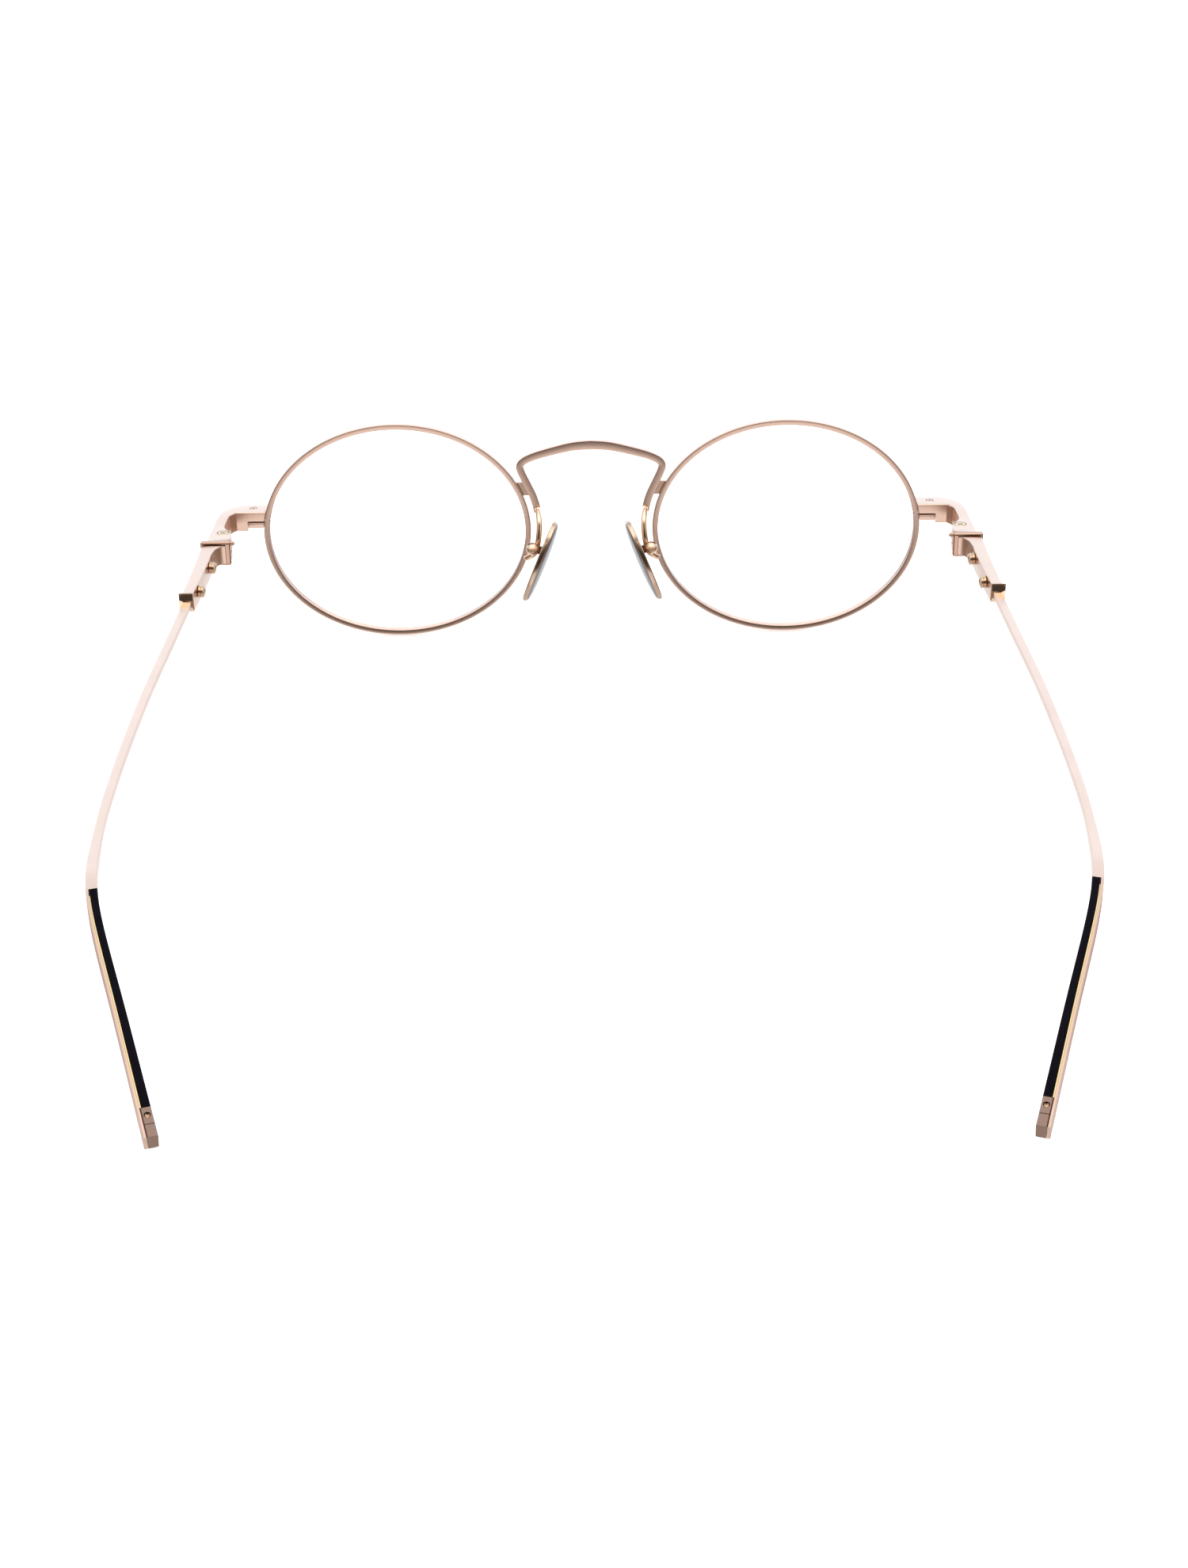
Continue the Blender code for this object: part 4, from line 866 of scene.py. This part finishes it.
def tip_screw_mesh():
    """Small screw sunk in the cap, with a dished head."""
    top, up = tip_screw_axis()
    r = TIP_SCREW_RADIUS
    profile = ((r * 0.45, -0.3), (r - 0.08, -0.15), (r, -0.22), (r, TIP_SCREW_END))
    return solid(turned(profile, top, up, 32))


def ferrule_mesh():
    """Bright end of the plate: a bead that bulges outward, then a slope down to the bar."""
    start_y = PLATE_REAR_Y + FIT_GAP
    outer, middle, half = plate_outer_x(start_y), plate_middle_z(start_y), PLATE_HALF_HEIGHT
    inner, bead = outer - PLATE_REAR_WIDTH, outer + FERRULE_BULGE
    rows = ((start_y, inner, outer, half, middle),
            (start_y + FERRULE_BEAD_START, inner, outer + FERRULE_BULGE / 2.0, half, middle),
            (start_y + FERRULE_BEAD_END, inner, bead, half, middle),
            (start_y + FERRULE_NECK, inner + FERRULE_NECK_INSET, bead, half * FERRULE_NECK_HEIGHT,
             middle - FERRULE_NECK_DROP))
    rings = []
    for y, low, high, h, z in rows:
        ring = ((low, y, z - h), (high, y, z - h), (high, y, z + h), (low, y, z + h))
        rings.append(rounded(ring, FERRULE_CORNER, 3))
    point, along = line_at(TEMPLE_PATH[0][1])
    w, h = BAR_HALF_WIDTH, BAR_HALF_HEIGHT
    profile = rounded(((-w, -h, 0.0), (w, -h, 0.0), (w, h, 0.0), (-w, h, 0.0)), FERRULE_BAR_CORNER, 3)
    rings.append(section(point - along * FIT_GAP, along, [(p.x, p.y) for p in profile]))
    return solid(loft(rings))


# ---------- materials

DRIFT_SCALE = 260.0       # noise scales, per metre
GRAIN_SCALE = 4200.0
CLOUD_SCALE = 380.0
SMEAR_SCALE = 60.0
COLOUR_DRIFT = 0.05
BUMP_HEIGHT = 0.00001
LENS_SHEEN = 0.05         # how soon the lens starts to mirror as it turns edge-on
FLOOR_GLOW = 0.55
BACKDROP_GLOW = 1.2
WHITE = (1.0, 1.0, 1.0, 1.0)

def new_material(name):
    material = bpy.data.materials.new(name)
    material.use_nodes = True
    return material, material.node_tree.nodes, material.node_tree.links


def noise(nodes, links, scale, detail):
    """Solid noise in the piece's own coordinates, which are in metres."""
    place = nodes.new("ShaderNodeTexCoord")
    texture = nodes.new("ShaderNodeTexNoise")
    texture.inputs["Scale"].default_value = scale
    texture.inputs["Detail"].default_value = detail
    links.new(place.outputs["Object"], texture.inputs["Vector"])
    return texture.outputs["Fac"]


def vary_colour(nodes, links, fac, dark, light, target):
    tint = nodes.new("ShaderNodeMix")
    tint.data_type = "RGBA"
    tint.inputs["A"].default_value = (*dark, 1.0)
    tint.inputs["B"].default_value = (*light, 1.0)
    links.new(fac, tint.inputs["Factor"])
    links.new(tint.outputs["Result"], target)


def vary_roughness(nodes, links, fac, low, high, target):
    spread = nodes.new("ShaderNodeMapRange")
    spread.inputs["To Min"].default_value = low
    spread.inputs["To Max"].default_value = high
    links.new(fac, spread.inputs["Value"])
    links.new(spread.outputs["Result"], target)


def relief(nodes, links, fac, strength, target):
    bump = nodes.new("ShaderNodeBump")
    bump.inputs["Strength"].default_value = strength
    bump.inputs["Distance"].default_value = BUMP_HEIGHT
    links.new(fac, bump.inputs["Height"])
    links.new(bump.outputs["Normal"], target)


def metal(name, colour, roughness, brush, bump):
    """Plated metal: faint colour drift, brushing in the roughness, and a fine grain in the bump."""
    material, nodes, links = new_material(name)
    shader = nodes["Principled BSDF"]
    shader.inputs["Metallic"].default_value = 1.0
    drift = noise(nodes, links, DRIFT_SCALE, 3.0)
    grain = noise(nodes, links, GRAIN_SCALE, 4.0)
    dark = [c * (1.0 - COLOUR_DRIFT) for c in colour]
    light = [min(c * (1.0 + COLOUR_DRIFT), 1.0) for c in colour]
    vary_colour(nodes, links, drift, dark, light, shader.inputs["Base Color"])
    vary_roughness(nodes, links, grain, roughness, roughness + brush, shader.inputs["Roughness"])
    relief(nodes, links, grain, bump, shader.inputs["Normal"])
    return material


def gloss_black(name):
    """Glossy black with a slight violet cast."""
    material, nodes, links = new_material(name)
    shader = nodes["Principled BSDF"]
    shader.inputs["Specular IOR Level"].default_value = 0.03
    cloud = noise(nodes, links, CLOUD_SCALE, 2.0)
    dark, light = (0.0025, 0.0015, 0.004), (0.006, 0.004, 0.008)
    vary_colour(nodes, links, cloud, dark, light, shader.inputs["Base Color"])
    vary_roughness(nodes, links, cloud, 0.05, 0.12, shader.inputs["Roughness"])
    relief(nodes, links, cloud, 0.05, shader.inputs["Normal"])
    return material


def clear_lens(name):
    """Thin clear lens: light passes straight through and a faint sheen stays on the surface."""
    material, nodes, links = new_material(name)
    nodes.remove(nodes["Principled BSDF"])
    smear = noise(nodes, links, SMEAR_SCALE, 2.0)
    through = nodes.new("ShaderNodeBsdfTransparent")
    through.inputs["Color"].default_value = (0.99, 0.99, 0.997, 1.0)
    sheen = nodes.new("ShaderNodeBsdfGlossy")
    vary_roughness(nodes, links, smear, 0.02, 0.06, sheen.inputs["Roughness"])
    relief(nodes, links, smear, 0.02, sheen.inputs["Normal"])
    slant = nodes.new("ShaderNodeLayerWeight")
    slant.inputs["Blend"].default_value = LENS_SHEEN
    mix = nodes.new("ShaderNodeMixShader")
    links.new(slant.outputs["Facing"], mix.inputs["Fac"])
    links.new(through.outputs["BSDF"], mix.inputs[1])
    links.new(sheen.outputs["BSDF"], mix.inputs[2])
    links.new(mix.outputs["Shader"], nodes["Material Output"].inputs["Surface"])
    return material


def plain_stage(name, grey, glow):
    """Matt grey that also glows a little, for the floor, or a lot, for the backdrop."""
    material, nodes, _ = new_material(name)
    shader = nodes["Principled BSDF"]
    shader.inputs["Roughness"].default_value = 0.9
    shader.inputs["Specular IOR Level"].default_value = 0.0
    shader.inputs["Base Color"].default_value = (grey, grey, grey, 1.0)
    shader.inputs["Emission Color"].default_value = WHITE
    shader.inputs["Emission Strength"].default_value = glow
    return material


MATERIALS = {
    "satin": metal("rose_gold_satin", (0.70, 0.495, 0.40), 0.24, 0.10, 0.25),
    "polished": metal("rose_gold_polished", (0.86, 0.63, 0.46), 0.08, 0.05, 0.08),
    "screw": metal("screw_gold", (0.62, 0.43, 0.29), 0.14, 0.08, 0.15),
    "pad_gilt": metal("pad_gilt", (0.56, 0.41, 0.31), 0.14, 0.06, 0.15),
    # painted highlight: bright yellow gold for the line on the tip's polished edge
    "painted_highlight_gold": metal("painted_highlight_gold", (0.90, 0.70, 0.34), 0.12, 0.05, 0.08),
    "cap": metal("cap_satin", (0.285, 0.19, 0.15), 0.22, 0.10, 0.25),
    "silver": metal("pad_silver", (0.32, 0.295, 0.30), 0.26, 0.10, 0.2),
    "collar": metal("collar_gold", (0.52, 0.33, 0.25), 0.11, 0.05, 0.1),
    "black": gloss_black("tip_black"),
    "lens": clear_lens("lens_clear"),
    "floor": plain_stage("pale_floor", 0.9, FLOOR_GLOW),
    "backdrop": plain_stage("white_backdrop", 0.0, BACKDROP_GLOW),
}


# ---------- the glasses

def build_front():
    show_pair("rim", rim_mesh(), "satin", "front")
    show_pair("lens", lens_mesh(), "lens", "front")
    show("fine_bridge", bridge_mesh(), "satin", "front", "bridge")
    show_pair("bridge_solder", solder_bead_mesh(), "polished", "front", node=False)
    show_pair("endpiece", endpiece_mesh(), "satin", "front")
    show_pair("rim_lock", rim_lock_mesh(), "satin", "front")
    show_pair("rim_screw", screw_mesh(LOCK_SCREW, ARM_TOP, ARM_HEIGHT, LOCK_HEAD_RADIUS, LOCK_HEAD_HEIGHT,
                                      LOCK_SCREW_RADIUS), "satin", "front")
    show_pair("hinge_screw", screw_mesh(HINGE, BLOCK_TOP, BLOCK_TOP - BLOCK_BOTTOM, HINGE_HEAD_RADIUS,
                                        HINGE_HEAD_HEIGHT, HINGE_PIN_RADIUS), "screw", "front")
    show_pair("pad_arm", pad_arm_mesh(), "polished", "front")
    show_pair("pad_box", pad_box_mesh(), "polished", "front")
    show_pair("pad_screw", pad_screw_mesh(), "screw", "front")


def build_pads():
    show_pair("nose_pad", pad_back_mesh(), "pad_gilt", "pad")
    show_pair("nose_pad_face", pad_face_mesh(), "silver", "pad", node=False)


def build_temples():
    show_pair("temple_plate", plate_mesh(), "satin", "temple")
    show_pair("temple_collar", collar_mesh(), "collar", "temple")
    for place in STUD_Y:
        show_pair("stud_" + place, stud_mesh(place), "screw", "temple")
    show_pair("temple_ferrule", ferrule_mesh(), "polished", "temple")
    show_pair("temple_bar", bar_mesh(), "satin", "temple")
    show_pair("tip_sleeve", sleeve_mesh(), "black", "temple")
    # the bright line on the tip is a painted highlight of its polished edge
    show_pair("tip_painted_highlight_line", painted_highlight_line_mesh(), "painted_highlight_gold", "temple", node=False)
    show_pair("tip_end_cap", cap_mesh(), "cap", "temple")
    show_pair("tip_screw", tip_screw_mesh(), "screw", "temple")


# ---------- studio

CAMERA_PLACE = (-0.000917, 0.359865, 0.210938)
CAMERA_YAW = 0.00252
CAMERA_PITCH = 0.51034
CAMERA_ROLL = -0.01309
CAMERA_LENS = 61.79
SENSOR = 36.0
CLIP_START = 0.01
STAGE_REACH = 3.0
FLOOR_DROP = 0.0002
OVERHEAD_PLACE = (0.0, 0.05, 0.9)
OVERHEAD_SIZE = 1.2
OVERHEAD_POWER = 3.0
TENT = (                  # degrees from the front horizon over the top, colour
    (-180.0, (0.05, 0.04, 0.035)), (-175.0, (0.16, 0.15, 0.145)), (-170.0, (0.60, 0.585, 0.58)),
    (-150.0, (0.66, 0.645, 0.64)), (-138.0, (0.45, 0.44, 0.43)), (-60.0, (0.45, 0.45, 0.45)),
    (-29.0, (0.58, 0.63, 0.66)), (10.0, (0.66, 0.80, 0.92)), (42.0, (0.66, 0.80, 0.92)),
    (56.0, (0.40, 0.42, 0.43)), (68.0, (0.26, 0.26, 0.26)), (85.0, (0.45, 0.45, 0.45)),
    (105.0, (0.80, 0.76, 0.70)), (125.0, (0.75, 0.70, 0.64)), (142.0, (0.15, 0.13, 0.12)),
    (156.0, (0.03, 0.025, 0.022)))
SIDE = (                  # height of the direction from straight down to straight up, colour
    (-1.0, (0.40, 0.38, 0.36)), (-0.6, (0.16, 0.12, 0.09)), (-0.1, (0.12, 0.09, 0.07)),
    (0.3, (0.45, 0.45, 0.46)), (1.0, (0.6, 0.6, 0.6)))
SIDE_FROM = 0.55          # how far sideways a direction points where SIDE sets in, and where it rules
SIDE_FULL = 0.9
TENT_STRENGTH = 2.1


def add_stage(name, bm):
    """A part of the studio. The metals mirror the tent and not this."""
    bmesh.ops.translate(bm, vec=(0.0, 0.0, -FLOOR_DROP), verts=bm.verts)
    mesh = bpy.data.meshes.new(name)
    bm.to_mesh(mesh)
    bm.free()
    item = bpy.data.objects.new(name, mesh)
    mesh.materials.append(MATERIALS[name])
    bpy.context.scene.collection.objects.link(item)
    item.visible_glossy = False
    return item


def add_floor():
    bm = bmesh.new()
    bmesh.ops.create_grid(bm, x_segments=8, y_segments=8, size=STAGE_REACH)
    add_stage("floor", bm)


def add_backdrop():
    """A white dome over the floor, behind everything. It neither lights the glasses nor shades them."""
    bm = bmesh.new()
    bmesh.ops.create_uvsphere(bm, u_segments=64, v_segments=32, radius=STAGE_REACH)
    below = [vert for vert in bm.verts if vert.co.z < -MM]
    bmesh.ops.delete(bm, geom=below, context="VERTS")
    dome = add_stage("backdrop", bm)
    dome.visible_diffuse = False
    dome.visible_shadow = False


def add_overhead():
    """Soft square light above the glasses, aimed at the middle of the floor."""
    data = bpy.data.lights.new("overhead", "AREA")
    data.size = OVERHEAD_SIZE
    data.energy = OVERHEAD_POWER
    item = bpy.data.objects.new("overhead", data)
    item.location = OVERHEAD_PLACE
    item.rotation_euler = (-Vector(OVERHEAD_PLACE)).to_track_quat("-Z", "Y").to_euler()
    bpy.context.scene.collection.objects.link(item)


def colour_ramp(nodes, stops):
    node = nodes.new("ShaderNodeValToRGB")
    ramp = node.color_ramp
    ramp.elements[0].position, ramp.elements[0].color = stops[0][0], (*stops[0][1], 1.0)
    ramp.elements[1].position, ramp.elements[1].color = stops[-1][0], (*stops[-1][1], 1.0)
    for position, colour in stops[1:-1]:
        ramp.elements.new(position).color = (*colour, 1.0)
    return node


def calculate(nodes, links, operation, *values):
    """A maths node. Its values are numbers or other nodes' outputs."""
    node = nodes.new("ShaderNodeMath")
    node.operation = operation
    for socket, value in zip(node.inputs, values):
        if isinstance(value, float):
            socket.default_value = value
        else:
            links.new(value, socket)
    return node.outputs["Value"]


def share_between(nodes, links, low, high, value, easing="LINEAR"):
    """How far a value is from low to high, from 0 to 1."""
    node = nodes.new("ShaderNodeMapRange")
    node.interpolation_type = easing
    node.inputs["From Min"].default_value = low
    node.inputs["From Max"].default_value = high
    links.new(value, node.inputs["Value"])
    return node.outputs["Result"]


def add_world():
    """A studio tent whose glow depends on the direction.

    TENT goes round from behind, below, in front and over the top, and SIDE lies to the left and right.
    """
    world = bpy.data.worlds.new("studio")
    world.use_nodes = True
    nodes, links = world.node_tree.nodes, world.node_tree.links
    place = nodes.new("ShaderNodeTexCoord")
    split = nodes.new("ShaderNodeSeparateXYZ")
    links.new(place.outputs["Generated"], split.inputs["Vector"])
    ahead = calculate(nodes, links, "MULTIPLY", split.outputs["Y"], -1.0)
    turn = calculate(nodes, links, "ARCTAN2", split.outputs["Z"], ahead)
    tent = colour_ramp(nodes, [((degrees + 180.0) / 360.0, colour) for degrees, colour in TENT])
    links.new(share_between(nodes, links, -math.pi, math.pi, turn), tent.inputs["Fac"])
    side = colour_ramp(nodes, [((height + 1.0) / 2.0, colour) for height, colour in SIDE])
    links.new(share_between(nodes, links, -1.0, 1.0, split.outputs["Z"]), side.inputs["Fac"])
    sideways = calculate(nodes, links, "ABSOLUTE", split.outputs["X"])
    blend = nodes.new("ShaderNodeMix")
    blend.data_type = "RGBA"
    side_share = share_between(nodes, links, SIDE_FROM, SIDE_FULL, sideways, "SMOOTHSTEP")
    links.new(side_share, blend.inputs["Factor"])
    links.new(tent.outputs["Color"], blend.inputs["A"])
    links.new(side.outputs["Color"], blend.inputs["B"])
    sky = nodes["Background"]
    links.new(blend.outputs["Result"], sky.inputs["Color"])
    sky.inputs["Strength"].default_value = TENT_STRENGTH
    bpy.context.scene.world = world


def add_camera():
    """Behind and above the glasses, looking forward and down with a slight roll."""
    reach = math.cos(CAMERA_PITCH)
    forward = Vector((math.sin(CAMERA_YAW) * reach, -math.cos(CAMERA_YAW) * reach, -math.sin(CAMERA_PITCH)))
    level = forward.cross(Vector((0.0, 0.0, 1.0))).normalized()
    upright = level.cross(forward)
    right = level * math.cos(CAMERA_ROLL) + upright * math.sin(CAMERA_ROLL)
    up = upright * math.cos(CAMERA_ROLL) - level * math.sin(CAMERA_ROLL)
    data = bpy.data.cameras.new("camera")
    data.sensor_width = SENSOR
    data.lens = CAMERA_LENS
    data.clip_start = CLIP_START
    camera = bpy.data.objects.new("camera", data)
    turn = Matrix((right, up, -forward)).transposed().to_4x4()
    camera.matrix_world = Matrix.Translation(CAMERA_PLACE) @ turn
    bpy.context.scene.collection.objects.link(camera)
    bpy.context.scene.camera = camera


build_front()
build_pads()
build_temples()
add_floor()
add_backdrop()
add_world()
add_overhead()
add_camera()
bpy.context.scene.view_settings.view_transform = "Standard"
